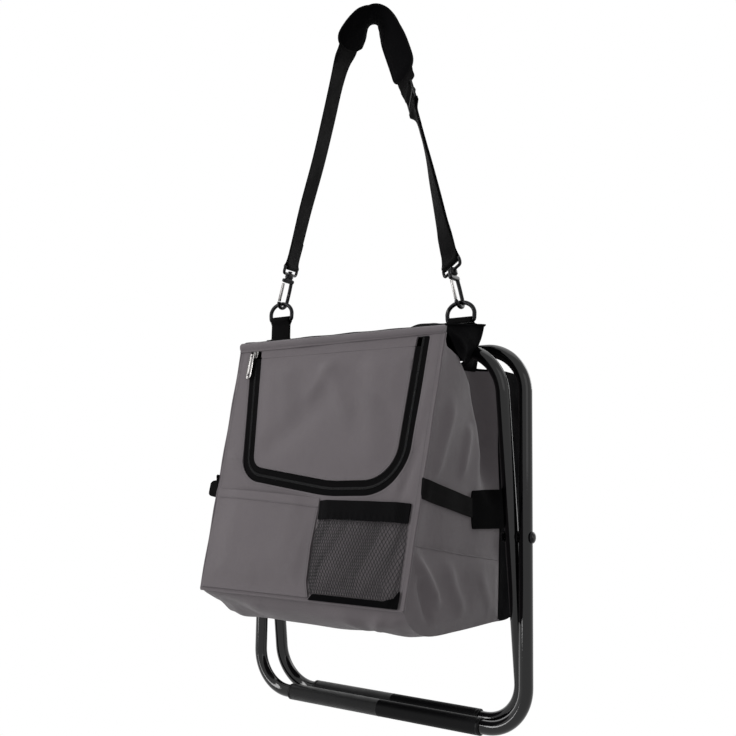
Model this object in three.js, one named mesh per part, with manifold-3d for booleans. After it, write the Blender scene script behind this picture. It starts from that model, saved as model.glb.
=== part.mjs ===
// Folding cooler stool, folded flat and hung by its shoulder strap.
import * as THREE from 'three';
import { mergeVertices } from 'three/addons/utils/BufferGeometryUtils.js';
import Module from 'manifold-3d';

const wasm = await Module();
wasm.setup();

// Lengths are in millimetres. X runs along the seat rails, +Y is the rear, +Z is up.
// The lengths in this first group drive all the others.
const loopWidth = 407;        // centre line of the outer tube loop
const loopHeight = 444;       // centre line of both loops
const tubeDiameter = 16.4;
const bagDepthShare = 0.61;   // depth of the bag at its base, in loop heights
const strapWidth = 38;
const hangHeight = 461.4;     // hang point above the seat rails
const clearance = 0.3;        // between pieces that touch

// Frame
const tubeRadius = tubeDiameter / 2;
const tubeWall = tubeDiameter * 0.052;
const loopCorner = loopHeight * 0.117;
const spacerThickness = tubeDiameter * 0.1;
const loopGap = tubeDiameter + spacerThickness;
const innerLoopWidth = loopWidth - 2 * loopGap;
const restLean = 7.75 * Math.PI / 180;
const railZ = loopHeight / 2;
const innerRailY = -railZ * Math.sin(restLean);
const innerRailZ = railZ * Math.cos(restLean);
const buttGap = tubeDiameter * 0.12;
const plugLength = tubeDiameter * 3;
const sleeveWall = tubeDiameter * 0.12;
const footSleeveHalf = loopWidth / 2 - loopCorner - tubeDiameter * 0.35;
const rivetRadius = tubeDiameter * 0.18;
const rivetHeadRadius = tubeDiameter * 0.42;
const rivetHeadHeight = tubeDiameter * 0.2;

// Bag
const skin = 3;               // laminated cloth and foam
const cloth = 1.5;
const foam = 5;
const board = 2;
const bagSideGap = loopHeight * 0.046;
const bagTopHalf = innerLoopWidth / 2 - tubeRadius - bagSideGap;
const bagBaseHalf = bagTopHalf * 0.95;
const ridgeY = -loopHeight * 0.0703;
const frontTop = { y: ridgeY - loopHeight * 0.1661, z: railZ + tubeDiameter * 1.037 };
const frontBase = { y: ridgeY - loopHeight * 0.3215, z: -loopHeight * 0.162 };
const baseZ = -loopHeight * 0.234;
const rearBase = { y: frontBase.y + loopHeight * bagDepthShare, z: -loopHeight * 0.18 };
const rearTop = { y: rearBase.y - loopHeight * 0.038, z: railZ - tubeDiameter * 1.34 };
const splitY = ridgeY + loopHeight * 0.1493;   // grey side cloth ends here
const panelLean = Math.atan2(frontTop.y - frontBase.y, frontTop.z - frontBase.z);
const panelHeight = Math.hypot(frontTop.y - frontBase.y, frontTop.z - frontBase.z);
const ridgeZ = railZ + tubeDiameter * 1.74;
const ridgeHalf = bagTopHalf + bagSideGap * 0.72;
const hemRadius = tubeRadius + clearance + cloth;
const hemHalf = innerLoopWidth / 2 - loopCorner - clearance;

// Rings, hooks and strap
const ringWire = strapWidth * 0.14;
const ringHalf = strapWidth * 0.5;
const ringHeight = strapWidth * 0.61;
const tabWidth = strapWidth * 0.84;
const ringX = { left: tabWidth / 2 - ridgeHalf, right: ridgeHalf * 0.7756 };
const ringBarZ = { left: ridgeZ + strapWidth * 0.8261, right: ridgeZ + strapWidth * 0.1499 };
const webbing = 1.6;
const hookWire = strapWidth * 0.132;
const hookBend = strapWidth * 0.21;
const hookMouth = strapWidth * 0.93;
const hangX = -loopWidth * 0.02387;
const hang = new THREE.Vector3(hangX, ridgeY, railZ + hangHeight);

const colours = {
  steel: [0x0b0b0c, 0.18, 0.5], rivet: [0x1a1a1c, 0.3, 0.8], plastic: [0x131314, 0.55, 0],
  rubber: [0x101011, 0.8, 0], grey: [0x696468, 0.8, 0], black: [0x151517, 0.85, 0],
  foam: [0xc4c6c8, 0.5, 0], metal: [0x8e9092, 0.3, 0.9], nylon: [0x1d1d1f, 0.6, 0],
};
const group = new THREE.Group();
group.name = 'folding_cooler_stool';

// A piece is welded, turned outward if needed, and moved so that the hang point is the origin.
function add(name, geometry, look) {
  const g = weld(geometry);
  if (signedVolume(g) < 0) flip(g);
  g.translate(-hang.x, -hang.y, -hang.z);
  g.computeVertexNormals();
  const [color, roughness, metalness] = colours[look];
  const mesh = new THREE.Mesh(g, new THREE.MeshStandardMaterial({ color, roughness, metalness }));
  mesh.name = name;
  group.add(mesh);
}

function weld(geometry) {
  geometry.deleteAttribute('normal');
  geometry.deleteAttribute('uv');
  return mergeVertices(geometry);
}

function signedVolume(g) {
  const p = g.attributes.position, i = g.index.array;
  const a = new THREE.Vector3(), b = new THREE.Vector3(), c = new THREE.Vector3();
  let sum = 0;
  for (let k = 0; k < i.length; k += 3) {
    a.fromBufferAttribute(p, i[k]); b.fromBufferAttribute(p, i[k + 1]); c.fromBufferAttribute(p, i[k + 2]);
    sum += a.dot(b.cross(c));
  }
  return sum / 6;
}

function flip(g) {
  const i = g.index.array;
  for (let k = 0; k < i.length; k += 3) [i[k], i[k + 1]] = [i[k + 1], i[k]];
}

function toManifold(geometry) {
  const g = weld(geometry);
  if (signedVolume(g) < 0) flip(g);
  return new wasm.Manifold(new wasm.Mesh({
    numProp: 3,
    vertProperties: new Float32Array(g.attributes.position.array),
    triVerts: new Uint32Array(g.index.array),
  }));
}

function fromManifold(solid) {
  const m = solid.getMesh();
  const g = new THREE.BufferGeometry();
  g.setAttribute('position', new THREE.BufferAttribute(new Float32Array(m.vertProperties), 3));
  g.setIndex(new THREE.BufferAttribute(new Uint32Array(m.triVerts), 1));
  return g;
}

// A solid through sections placed at stations. Each station has a point and two directions, u and v.
// An inner section leaves the solid hollow, and a closed run of stations makes a ring.
function loft(stations, section, inner = null, closed = false) {
  const rings = [], points = [], faces = [];
  const put = (s, outline) => outline.map(([a, b]) => {
    const q = s.p.clone().addScaledVector(s.u, a).addScaledVector(s.v, b);
    points.push(q.x, q.y, q.z);
    return points.length / 3 - 1;
  });
  for (const s of stations) rings.push([put(s, section), inner ? put(s, inner) : null]);
  const count = section.length, quad = (a, b, c, d) => faces.push(a, b, c, a, c, d);
  const spans = closed ? rings.length : rings.length - 1;
  for (let i = 0; i < spans; i++) {
    const [o, n] = rings[i], [o2, n2] = rings[(i + 1) % rings.length];
    for (let j = 0; j < count; j++) {
      const k = (j + 1) % count;
      quad(o[j], o[k], o2[k], o2[j]);
      if (inner) quad(n[j], n2[j], n2[k], n[k]);
    }
  }
  if (!closed) {
    for (const [end, ring] of [[0, rings[0]], [1, rings[rings.length - 1]]]) {
      const [o, n] = ring;
      for (let j = 0; j < count; j++) {
        const k = (j + 1) % count;
        if (inner) end ? quad(o[j], o[k], n[k], n[j]) : quad(o[k], o[j], n[j], n[k]);
        else if (j > 0 && k > 0) end ? faces.push(o[0], o[j], o[k]) : faces.push(o[0], o[k], o[j]);
      }
    }
  }
  const g = new THREE.BufferGeometry();
  g.setAttribute('position', new THREE.BufferAttribute(new Float32Array(points), 3));
  g.setIndex(faces);
  return g;
}

const ringSection = (radius, sides) => Array.from({ length: sides }, (_, i) => {
  const a = (i + 0.5) * 2 * Math.PI / sides;
  return [radius * Math.cos(a), radius * Math.sin(a)];
});
// A faceted bore whose flats stay outside the radius.
const boreSection = (radius, sides) => ringSection(radius / Math.cos(Math.PI / sides), sides);
const barSection = (width, thickness) => [
  [-width / 2, -thickness / 2], [width / 2, -thickness / 2],
  [width / 2, thickness / 2], [-width / 2, thickness / 2],
];

// Stations for a path that lies in one plane: u is in the plane, v is the plane's normal.
function planeStations(path, normal, closed = false) {
  const last = path.length - 1;
  return path.map((p, i) => {
    const before = i > 0 ? path[i - 1] : closed ? path[last] : p;
    const after = i < last ? path[i + 1] : closed ? path[0] : p;
    const a = p.clone().sub(before), b = after.clone().sub(p);
    if (a.lengthSq() > 0) a.normalize();
    if (b.lengthSq() > 0) b.normalize();
    const t = a.clone().add(b).normalize();
    const u = normal.clone().cross(t).negate();
    const bend = Math.max(t.dot(b.lengthSq() > 0 ? b : a), 0.5);
    return { p, u: u.divideScalar(bend), v: normal.clone() };
  });
}

// Stations for a strap: u lies along the strap's width, v along its thickness.
function strapStations(path, widths) {
  const last = path.length - 1;
  return path.map((p, i) => {
    const t = path[Math.min(i + 1, last)].clone().sub(path[Math.max(i - 1, 0)]).normalize();
    const u = widths[i].clone().addScaledVector(t, -widths[i].dot(t)).normalize();
    return { p, u, v: t.clone().cross(u) };
  });
}

// A flat plate from an outline, placed by its origin and its three directions.
function plate(outline, origin, u, v, n, thickness, holes = []) {
  const shape = new THREE.Shape(outline.map(([a, b]) => new THREE.Vector2(a, b)));
  for (const h of holes) shape.holes.push(new THREE.Path(h.map(([a, b]) => new THREE.Vector2(a, b))));
  const g = new THREE.ExtrudeGeometry(shape, { depth: thickness, bevelEnabled: false });
  g.applyMatrix4(new THREE.Matrix4().makeBasis(u, v, n).setPosition(origin));
  return g;
}

const axisX = new THREE.Vector3(1, 0, 0);
const axisY = new THREE.Vector3(0, 1, 0);
const axisZ = new THREE.Vector3(0, 0, 1);
const at = (x, y, z) => new THREE.Vector3(x, y, z);
const rod = (radius, length, sides) => new THREE.CylinderGeometry(radius, radius, length, sides);

// A solid with its outline in the YZ plane that runs along X between two places.
const alongX = (outline, x0, x1, holes = []) =>
  plate(outline, at(x0, 0, 0), axisY, axisZ, axisX, x1 - x0, holes);

// The bag widens towards its top.
const widthAt = (z) => 1 + (bagTopHalf / bagBaseHalf - 1) * (z - frontBase.z) / (frontTop.z - frontBase.z);
function widen(geometry) {
  const p = geometry.attributes.position;
  for (let i = 0; i < p.count; i++) p.setX(i, p.getX(i) * widthAt(p.getZ(i)));
  return geometry;
}

// Tube loops. Each is bent from one tube that butts together at the middle of its foot bar.
const cornerSteps = 6;
function loopPath(width, height, corner) {
  const w = width / 2 - corner, h = height / 2 - corner, path = [at(buttGap / 2, 0, -height / 2)];
  const corners = [[w, -h, -90], [w, h, 0], [-w, h, 90], [-w, -h, 180]];
  for (const [cx, cz, start] of corners) {
    for (let i = 0; i <= cornerSteps; i++) {
      const a = (start + 90 * i / cornerSteps) * Math.PI / 180;
      path.push(at(cx + corner * Math.cos(a), 0, cz + corner * Math.sin(a)));
    }
  }
  path.push(at(-buttGap / 2, 0, -height / 2));
  return path;
}
const lean = (geometry, angle) => geometry.rotateX(angle);
const tubeSides = 14, sleeveSides = 16, roundSides = 12, stemSides = 10, wireSides = 8;

function frameLoop(name, width, angle) {
  const stations = planeStations(loopPath(width, loopHeight, loopCorner), axisY);
  const outside = ringSection(tubeRadius, tubeSides), inside = ringSection(tubeRadius - tubeWall, tubeSides);
  const tube = toManifold(loft(stations, outside, inside));
  const drillLength = width + 3 * tubeDiameter;
  const drill = toManifold(rod(rivetRadius + clearance, drillLength, roundSides).rotateZ(Math.PI / 2));
  add(`${name}_tube`, lean(fromManifold(tube.subtract(drill)), angle), 'steel');
  const plug = rod(tubeRadius - tubeWall - clearance, plugLength, tubeSides).rotateZ(Math.PI / 2);
  add(`${name}_joint_plug`, lean(plug.translate(0, 0, -railZ), angle), 'rivet');
  const outer = boreSection(tubeRadius + clearance + sleeveWall, sleeveSides);
  const bore = boreSection(tubeRadius + clearance, sleeveSides);
  const half = footSleeveHalf - (loopWidth - width) / 2;
  const sleeve = loft([-half, half].map((x) => ({ p: at(x, 0, -railZ), u: axisY, v: axisZ })), outer, bore);
  add(`${name}_foot_sleeve`, lean(sleeve, angle), 'rubber');
}
frameLoop('outer', loopWidth, 0);
frameLoop('inner', innerLoopWidth, restLean);

// Rivets through both tubes at mid height, with a spacer between the tubes.
for (const [side, sign] of [['left', -1], ['right', 1]]) {
  const outside = loopWidth / 2 + tubeRadius + clearance;
  const inside = innerLoopWidth / 2 - tubeRadius - clearance;
  const profile = [[0, inside - rivetHeadHeight], [rivetHeadRadius, inside - rivetHeadHeight],
    [rivetHeadRadius, inside], [rivetRadius, inside], [rivetRadius, outside], [rivetHeadRadius, outside],
    [rivetHeadRadius * 0.75, outside + rivetHeadHeight * 0.7],
    [rivetHeadRadius * 0.35, outside + rivetHeadHeight * 0.97], [0, outside + rivetHeadHeight]];
  const rivet = new THREE.LatheGeometry(profile.map(([r, x]) => new THREE.Vector2(r, x)), roundSides);
  add(`rivet_${side}`, rivet.rotateZ(-sign * Math.PI / 2), 'rivet');
}

// Cloth hems round the two seat rails.
function hem(name, y, z, half) {
  const outer = boreSection(hemRadius, roundSides), bore = boreSection(tubeRadius + clearance, roundSides);
  add(name, loft([-half, half].map((x) => ({ p: at(x, y, z), u: axisY, v: axisZ })), outer, bore), 'black');
}
hem('rear_rail_hem', 0, railZ, hemHalf);
hem('front_rail_hem', innerRailY, innerRailZ, hemHalf);

// Front panel. Its own axes are u along X, up along the panel, and out of the panel.
const panelUp = at(0, Math.sin(panelLean), Math.cos(panelLean));
const panelOut = at(0, -Math.cos(panelLean), Math.sin(panelLean));
const onPanel = (out) => at(0, frontBase.y, frontBase.z).addScaledVector(panelOut, out);
const panelPlate = (outline, out, thickness, holes = []) =>
  plate(outline, onPanel(out), axisX, panelUp, panelOut, thickness, holes);
const halfAt = (s) => bagBaseHalf + (bagTopHalf - bagBaseHalf) * s / panelHeight;

// The zip runs round a U. Each of its points has a side, an inset from the panel's edge and a rise.
// Inset and rise are shares of the panel's height.
const hingeLine = panelHeight * 0.93;
const zipTop = panelHeight * 0.966;
const zipPointShares = [[-1, 0.0811, 1], [-1, 0.1425, 0.4562], [1, 0.3992, 0.4], [1, 0.0951, 0.411],
  [1, 0.0874, 1]];
const zipCornerShares = [0.085, 0.6, 0.163];
const zipPoints = zipPointShares.map(([side, inset, rise]) =>
  new THREE.Vector2(side * (halfAt(rise * panelHeight) - inset * panelHeight), rise * panelHeight));
function zipLine(offset, top) {
  const pts = zipPoints;
  const lines = pts.slice(1).map((next, i) => {
    const d = next.clone().sub(pts[i]).normalize();
    return [pts[i].clone().addScaledVector(new THREE.Vector2(d.y, -d.x), offset), d];
  });
  const meet = ([p, d], [q, e]) => {
    const k = ((q.x - p.x) * e.y - (q.y - p.y) * e.x) / (d.x * e.y - d.y * e.x);
    return p.clone().addScaledVector(d, k);
  };
  const level = [new THREE.Vector2(0, top), new THREE.Vector2(1, 0)];
  const out = [meet(lines[0], level)];
  zipCornerShares.forEach((share, i) => {
    const corner = meet(lines[i], lines[i + 1]), r = share * panelHeight + offset;
    const d0 = lines[i][1], turn = Math.acos(d0.dot(lines[i + 1][1]));
    const start = corner.clone().addScaledVector(d0, -r * Math.tan(turn / 2));
    const centre = start.clone().addScaledVector(new THREE.Vector2(-d0.y, d0.x), r);
    const a0 = Math.atan2(start.y - centre.y, start.x - centre.x);
    for (let k = 0; k <= cornerSteps; k++) {
      const a = a0 + turn * k / cornerSteps;
      out.push(new THREE.Vector2(centre.x + r * Math.cos(a), centre.y + r * Math.sin(a)));
    }
  });
  out.push(meet(lines.at(-1), level));
  return out.map((p) => [p.x, p.y]);
}
const zipBand = (far, near, top) => [...zipLine(far, top), ...zipLine(near, top).reverse()];

// The hole in the panel takes the flap below the hinge line and the two ends of the zip above it.
const tapeHalf = panelHeight * 0.0285;
const coilHalf = tapeHalf * 0.15;
const tape = 1.2;
const tapeOut = -(skin + tape) / 2;
const legHigh = zipLine(-tapeHalf, zipTop), legLow = zipLine(-tapeHalf, hingeLine);
const zipHole = [...zipLine(tapeHalf, zipTop), legHigh.at(-1), legLow.at(-1), legLow[0], legHigh[0]];
const panelOutline = [[-halfAt(0), 0], [halfAt(0), 0], [halfAt(panelHeight), panelHeight],
  [-halfAt(panelHeight), panelHeight]];
add('front_panel', panelPlate(panelOutline, -skin, skin, [zipHole]), 'grey');
const tapeTop = zipTop - clearance, flapTop = hingeLine - clearance;
const zipTape = (far, near, top) => panelPlate(zipBand(far, near, top), tapeOut, tape);
add('zip_tape_outer', zipTape(tapeHalf - clearance, coilHalf + clearance, tapeTop), 'black');
add('zip_coil', panelPlate(zipBand(coilHalf, -coilHalf, tapeTop), tapeOut, 2 * tape), 'nylon');
add('zip_tape_inner', zipTape(-coilHalf - clearance, clearance - tapeHalf, flapTop), 'black');
add('flap', panelPlate(zipLine(-tapeHalf - clearance, flapTop), -skin, skin), 'grey');
const linerInset = tapeHalf * 2.2;
const foamOut = -skin - clearance - foam;

// Foam behind the front panel, with a wider hole than the zip's.
const shellHalf = (s) => halfAt(s) - skin - foam - 4 * clearance;
const linerLow = panelHeight * 0.075, linerHigh = panelHeight * 0.83;
add('flap_liner', panelPlate(zipLine(-linerInset, linerHigh), foamOut, foam), 'foam');
const linerSlot = zipLine(tapeHalf * 1.15, linerHigh);
add('front_liner', panelPlate([[-shellHalf(linerLow), linerLow], [shellHalf(linerLow), linerLow],
  [shellHalf(linerHigh), linerHigh], ...[...linerSlot].reverse(), [-shellHalf(linerHigh), linerHigh]],
foamOut, foam), 'foam');

// Hem along the top of the front panel, and the stitched end of the left side band.
const bandHeight = panelHeight * 0.03;
const frame = (a0, b0, a1, b1) => [[a0, b0], [a1, b0], [a1, b1], [a0, b1]];
const hemHigh = panelHeight + clearance;
const hemOutline = frame(-bagTopHalf, hemHigh - bandHeight, bagTopHalf, hemHigh);
add('top_hem', panelPlate(hemOutline, clearance, cloth), 'grey');

// Slider and pull of the zip, parked at the top of the left leg.
const sliderLength = panelHeight * 0.03, sliderWidth = tapeHalf, sliderDeep = tape * 2.6;
const [legTop, legEnd] = zipPoints;
const legDown = legEnd.clone().sub(legTop).normalize();
const legPoint = (s) => legTop.clone().addScaledVector(legDown, (s - legTop.y) / legDown.y);
const sliderAt = hingeLine + clearance * 3 + sliderLength / 2;
const sliderBase = tapeOut + tape + clearance;
{
  const c = legPoint(sliderAt), side = new THREE.Vector2(-legDown.y, legDown.x);
  const groove = 2 * tape - tape + clearance;
  const w = sliderWidth / 2, g = coilHalf + clearance;
  const section = [[-w, 0], [-g, 0], [-g, groove], [g, groove], [g, 0], [w, 0],
    [w, sliderDeep], [-w, sliderDeep]];
  const u = axisX.clone().multiplyScalar(side.x).addScaledVector(panelUp, side.y);
  const t = axisX.clone().multiplyScalar(legDown.x).addScaledVector(panelUp, legDown.y);
  const origin = onPanel(sliderBase).addScaledVector(axisX, c.x).addScaledVector(panelUp, c.y)
    .addScaledVector(t, -sliderLength / 2);
  add('zip_slider', plate(section, origin, u, panelOut, u.clone().cross(panelOut), sliderLength), 'metal');
}
const pullLength = panelHeight * 0.105, pullWidth = sliderWidth * 0.8, pullThickness = tape;
const pullTop = new THREE.Vector2(legPoint(sliderAt).x - sliderWidth * 0.42, sliderAt);
{
  const w = pullWidth / 2, end = pullWidth * 0.36;
  const outline = [[-end, 0], [end, 0], [w, -pullLength * 0.3], [w, -pullLength + end], [end, -pullLength],
    [-end, -pullLength], [-w, -pullLength + end], [-w, -pullLength * 0.3]];
  const hole = (y, r) => ringSection(r, wireSides).map(([a, b]) => [a, b + y]);
  const holes = [hole(-pullWidth * 0.42, pullWidth * 0.16),
    hole(-pullLength + pullWidth * 0.62, pullWidth * 0.27)];
  const origin = onPanel(sliderBase + sliderDeep + clearance).addScaledVector(axisX, pullTop.x)
    .addScaledVector(panelUp, pullTop.y);
  add('zip_pull', plate(outline, origin, axisX, panelUp, panelOut, pullThickness, holes), 'metal');
}

// Front pocket on the left: a flat tray of cloth that is open at its top.
const pocketGap = 8;
const pocketSplit = bagTopHalf * 0.1;
const pocketLeft = bagBaseHalf - cloth;
const pocketTop = [panelHeight * 0.388, panelHeight * 0.36];
function tray(outline, wall, gap) {
  const grow = (o, d) => o.map(([a, b], i) => [a + (i === 0 || i === 3 ? -d : d), b + (i < 2 ? -d : 0)]);
  const open = outline.map(([a, b], i) => (i < 2 ? [a, b] : [a, b + panelHeight]));
  const outside = toManifold(panelPlate(grow(outline, wall), clearance, gap + wall));
  const inside = toManifold(panelPlate(open, 0, gap + clearance));
  return fromManifold(outside.subtract(inside));
}
add('front_pocket', tray([[-pocketLeft, cloth * 2], [pocketSplit - cloth, cloth * 2],
  [pocketSplit - cloth, pocketTop[1]], [-pocketLeft, pocketTop[0]]], cloth, pocketGap), 'grey');

// Mesh pocket on the right: a flat net with diamond gaps, an elastic binding and an edging.
const netLeft = pocketSplit + cloth + clearance * 2, netRight = bagTopHalf * 0.9;
const netLow = panelHeight * 0.022, netHigh = panelHeight * 0.288, bindingHigh = panelHeight * 0.355;
const netOut = pocketGap + clearance;
const netColumns = 15, netRows = 12;
{
  const dx = (netRight - netLeft) / netColumns, dy = (netHigh - netLow) / netRows, holes = [];
  const wide = dx * 0.36, high = dy * 0.576;
  for (let r = 0; r < netRows; r++) {
    for (let c = 0; c < netColumns - (r % 2); c++) {
      const x = netLeft + dx * (c + 0.5 + (r % 2) / 2), y = netLow + dy * (r + 0.5);
      holes.push([[x - wide, y], [x, y - high], [x + wide, y], [x, y + high]]);
    }
  }
  const m = dy * 0.36;
  add('mesh_net', panelPlate([[netLeft, netLow - m], [netRight, netLow - m], [netRight, netHigh + m],
    [netLeft, netHigh + m]], netOut, cloth, holes), 'black');
  const edgeTop = netLow - m - clearance, bindingLow = netHigh + m + clearance, deep = netOut + cloth;
  const band = panelPlate(frame(netLeft, bindingLow, netRight, bindingHigh), clearance, deep);
  const mouth = frame(netLeft + cloth, edgeTop, netRight - cloth, bindingHigh + cloth);
  const binding = toManifold(band).subtract(toManifold(panelPlate(mouth, 0, netOut)));
  add('mesh_binding', fromManifold(binding), 'black');
  add('mesh_edging', panelPlate(frame(netLeft, clearance, netRight, edgeTop), clearance, deep), 'black');
  for (const [side, x] of [['left', netLeft], ['right', netRight - cloth]]) {
    const strip = frame(x, edgeTop + clearance, x + cloth, bindingLow - clearance);
    add(`mesh_side_${side}`, panelPlate(strip, clearance, netOut - 2 * clearance), 'black');
  }
}

// Sides of the bag. Grey cloth in front, black cloth behind.
const rearSlope = (rearBase.y - rearTop.y) / (rearBase.z - rearTop.z);
const inFront = (z, depth) =>
  frontTop.y + (z - frontTop.z) * Math.tan(panelLean) + depth / Math.cos(panelLean);
const inRear = (z, depth) => rearTop.y + (z - rearTop.z) * rearSlope - depth;
const sagZ = (frontBase.z * 0.25 + baseZ * 0.75), sagY = frontBase.y + (frontBase.z - baseZ) * 0.7;
const flatY = frontBase.y + (frontBase.z - baseZ) * 1.55, flatEnd = rearBase.y - (rearBase.z - baseZ) * 1.45;
const sideTopZ = rearTop.z, shoulderZ = sideTopZ + (frontTop.z - sideTopZ) * 0.3;
const baseLine = [[inFront(frontBase.z + clearance, skin + clearance), frontBase.z + clearance], [sagY, sagZ],
  [flatY, baseZ], [splitY, baseZ], [flatEnd, baseZ], [rearBase.y - skin, rearBase.z]];
const greySide = [...baseLine.slice(0, 4), [splitY, sideTopZ], [inFront(sideTopZ, skin * 12), sideTopZ],
  [inFront(shoulderZ, skin * 3), shoulderZ], [inFront(shoulderZ, skin + clearance), shoulderZ]];
const blackSide = [[splitY + clearance, baseZ], ...baseLine.slice(4),
  [inRear(sideTopZ, skin), sideTopZ], [splitY + clearance, sideTopZ]];
const bandLow = { y: inFront(railZ * 0.2, skin * 2), z: railZ * 0.2 };
const bandSlope = Math.tan(11.6 * Math.PI / 180), bandWide = strapWidth * 0.6;
const bandEndY = ridgeY - loopHeight * 0.0097, patchEndY = splitY + loopHeight * 0.03;
const patchHigh = strapWidth * 1.24;
for (const [side, sign] of [['left', -1], ['right', 1]]) {
  const span = (a, b) => (sign > 0 ? [a, b] : [-b, -a]);
  const sheet = (outline, inner, thick) => widen(alongX(outline, ...span(inner, inner + thick)));
  add(`side_panel_${side}`, sheet(greySide, bagBaseHalf - skin, skin), 'grey');
  add(`rear_gusset_${side}`, sheet(blackSide, bagBaseHalf - skin, skin), 'black');
  const drop = (y) => bandLow.z - (y - bandLow.y) * bandSlope;
  const band = [[bandLow.y, drop(bandLow.y)], [bandEndY, drop(bandEndY)],
    [bandEndY, drop(bandEndY) + bandWide], [bandLow.y, drop(bandLow.y) + bandWide]];
  add(`side_band_${side}`, sheet(band, bagBaseHalf + clearance, cloth), 'black');
  const middle = drop(bandEndY) + bandWide * 0.4, patchStart = bandEndY + clearance;
  const patch = [[patchStart, middle - patchHigh / 2], [patchEndY, middle - patchHigh / 2],
    [patchEndY, middle + patchHigh / 2], [patchStart, middle + patchHigh / 2]];
  add(`hook_and_loop_patch_${side}`, sheet(patch, bagBaseHalf + clearance, cloth), 'black');
}

// Rear panel, bottom panel, stiffening board and the insulated shell.
const rearStrip = [[inRear(rearBase.z, skin) + clearance, rearBase.z], [inRear(rearBase.z, 0), rearBase.z],
  [inRear(sideTopZ, 0), sideTopZ], [inRear(sideTopZ, skin) + clearance, sideTopZ]];
add('rear_panel', widen(alongX(rearStrip, -bagBaseHalf, bagBaseHalf)), 'black');
const inset = bagBaseHalf - skin - clearance;
const under = [baseLine[0], baseLine[1], baseLine[2], baseLine[4], [rearBase.y - skin, rearBase.z]];
const liningShares = [0.6, 0.6, 0.3, -0.3, -0.8];
const lining = under.map(([y, z], i) => [y + skin * liningShares[i], z + skin * 0.8]);
lining[0][1] = under[0][1] + skin * 0.3;
lining[4][1] = under[4][1];
add('bottom_panel', widen(alongX([...under, ...lining.reverse()], -inset, inset)), 'grey');
const boardZ = baseZ + skin * 0.8 + clearance;
const boardOutline = frame(flatY + skin, boardZ, flatEnd - skin, boardZ + board);
add('base_board', widen(alongX(boardOutline, -inset + skin, inset - skin)), 'plastic');
const shellLow = boardZ + board + clearance, shellHigh = sideTopZ - skin;
const kneeZ = frontBase.z + skin * 2;
const shellOutline = (d, forward) => [[inFront(kneeZ, skin + clearance * 2 + d) - forward, kneeZ + d * 0.4],
  [flatY + skin * 1.5 + d * 0.3 - forward, shellLow + d], [flatEnd - skin * 1.5 - d * 0.4, shellLow + d],
  [inRear(kneeZ, skin * 2 + d), kneeZ + d * 0.4], [inRear(shellHigh, skin * 2 + d), shellHigh - d],
  [inFront(shellHigh, skin + clearance * 2 + d) - forward, shellHigh - d]];
const shell = toManifold(widen(alongX(shellOutline(0, 0), -inset, inset)))
  .subtract(toManifold(widen(alongX(shellOutline(foam, foam * 4), -inset + foam, inset - foam))));
add('insulation_shell', fromManifold(shell), 'foam');
const topZ = shellHigh + clearance;
const topOutline = frame(inFront(topZ, skin * 2), topZ, inRear(topZ, skin * 1.6), topZ + cloth);
add('top_panel', widen(alongX(topOutline, -inset, inset)), 'black');

// Seat cloth over the rails, as a low tent from the front hem over the ridge to the rear rail.
function ribbon(path, thickness) {
  const stations = planeStations(path.map(([y, z]) => at(0, y, z)), axisX);
  const up = stations.map((s) => [s.p.y - s.u.y * thickness, s.p.z - s.u.z * thickness]);
  return [...path, ...up.reverse()];
}
// The cloth is widest at its ridge.
function tent(path, halfA, halfB, [yb]) {
  const [ya] = path[0], geometry = alongX(ribbon(path, cloth), -halfA, halfA);
  const p = geometry.attributes.position;
  for (let i = 0; i < p.count; i++) {
    const share = Math.min(1, (p.getY(i) - ya) / (yb - ya));
    p.setX(i, p.getX(i) * (1 + (halfB / halfA - 1) * share));
  }
  return geometry;
}
const frontTent = [[inFront(frontTop.z, -cloth), frontTop.z + clearance + cloth],
  [inFront(frontTop.z, skin * 2), ridgeZ - skin * 1.6],
  [(frontTop.y + ridgeY) / 2, ridgeZ - skin * 0.6], [ridgeY - clearance / 2, ridgeZ]];
const rearTent = [[ridgeY + clearance / 2, ridgeZ], [ridgeY * 0.7, ridgeZ - skin * 0.4],
  [ridgeY * 0.2, railZ + hemRadius + skin * 3.4], [hemRadius * 0.55, railZ + hemRadius + skin * 0.4],
  [hemRadius + cloth, railZ + skin * 0.6], [hemRadius + cloth, railZ - hemRadius]];
add('seat_cloth_front', tent(frontTent, bagTopHalf, ridgeHalf, frontTent.at(-1)), 'black');
add('seat_cloth_rear', tent(rearTent, ridgeHalf, hemHalf, rearTent[3]), 'black');

// Black cloth closes each end of the tent. The rails pass through it.
const drapeX = hemHalf + clearance * 2 + cloth;
const railHole = (y, z) => boreSection(tubeRadius + clearance, roundSides).map(([a, b]) => [a + y, b + z]);
const lowered = ([y, z]) => [y, z - clearance * 1.4];
const drapeLow = topZ + cloth + clearance, drapeFront = inFront(frontTop.z, skin * 2);
const drape = [[drapeFront, drapeLow], [hemRadius + skin, drapeLow], [hemRadius + skin, railZ],
  ...rearTent.slice(1, 4).reverse().map(lowered), ...frontTent.slice(1).reverse().map(lowered),
  [drapeFront, frontTop.z]];

for (const [side, x0] of [['left', -drapeX], ['right', drapeX - cloth]]) {
  let solid = toManifold(alongX(drape, x0, x0 + cloth));
  for (const [y, z] of [[0, railZ], [innerRailY, innerRailZ]]) {
    solid = solid.subtract(toManifold(alongX(railHole(y, z), x0 - cloth, x0 + 2 * cloth)));
  }
  add(`end_drape_${side}`, fromManifold(solid), 'black');
}

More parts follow.
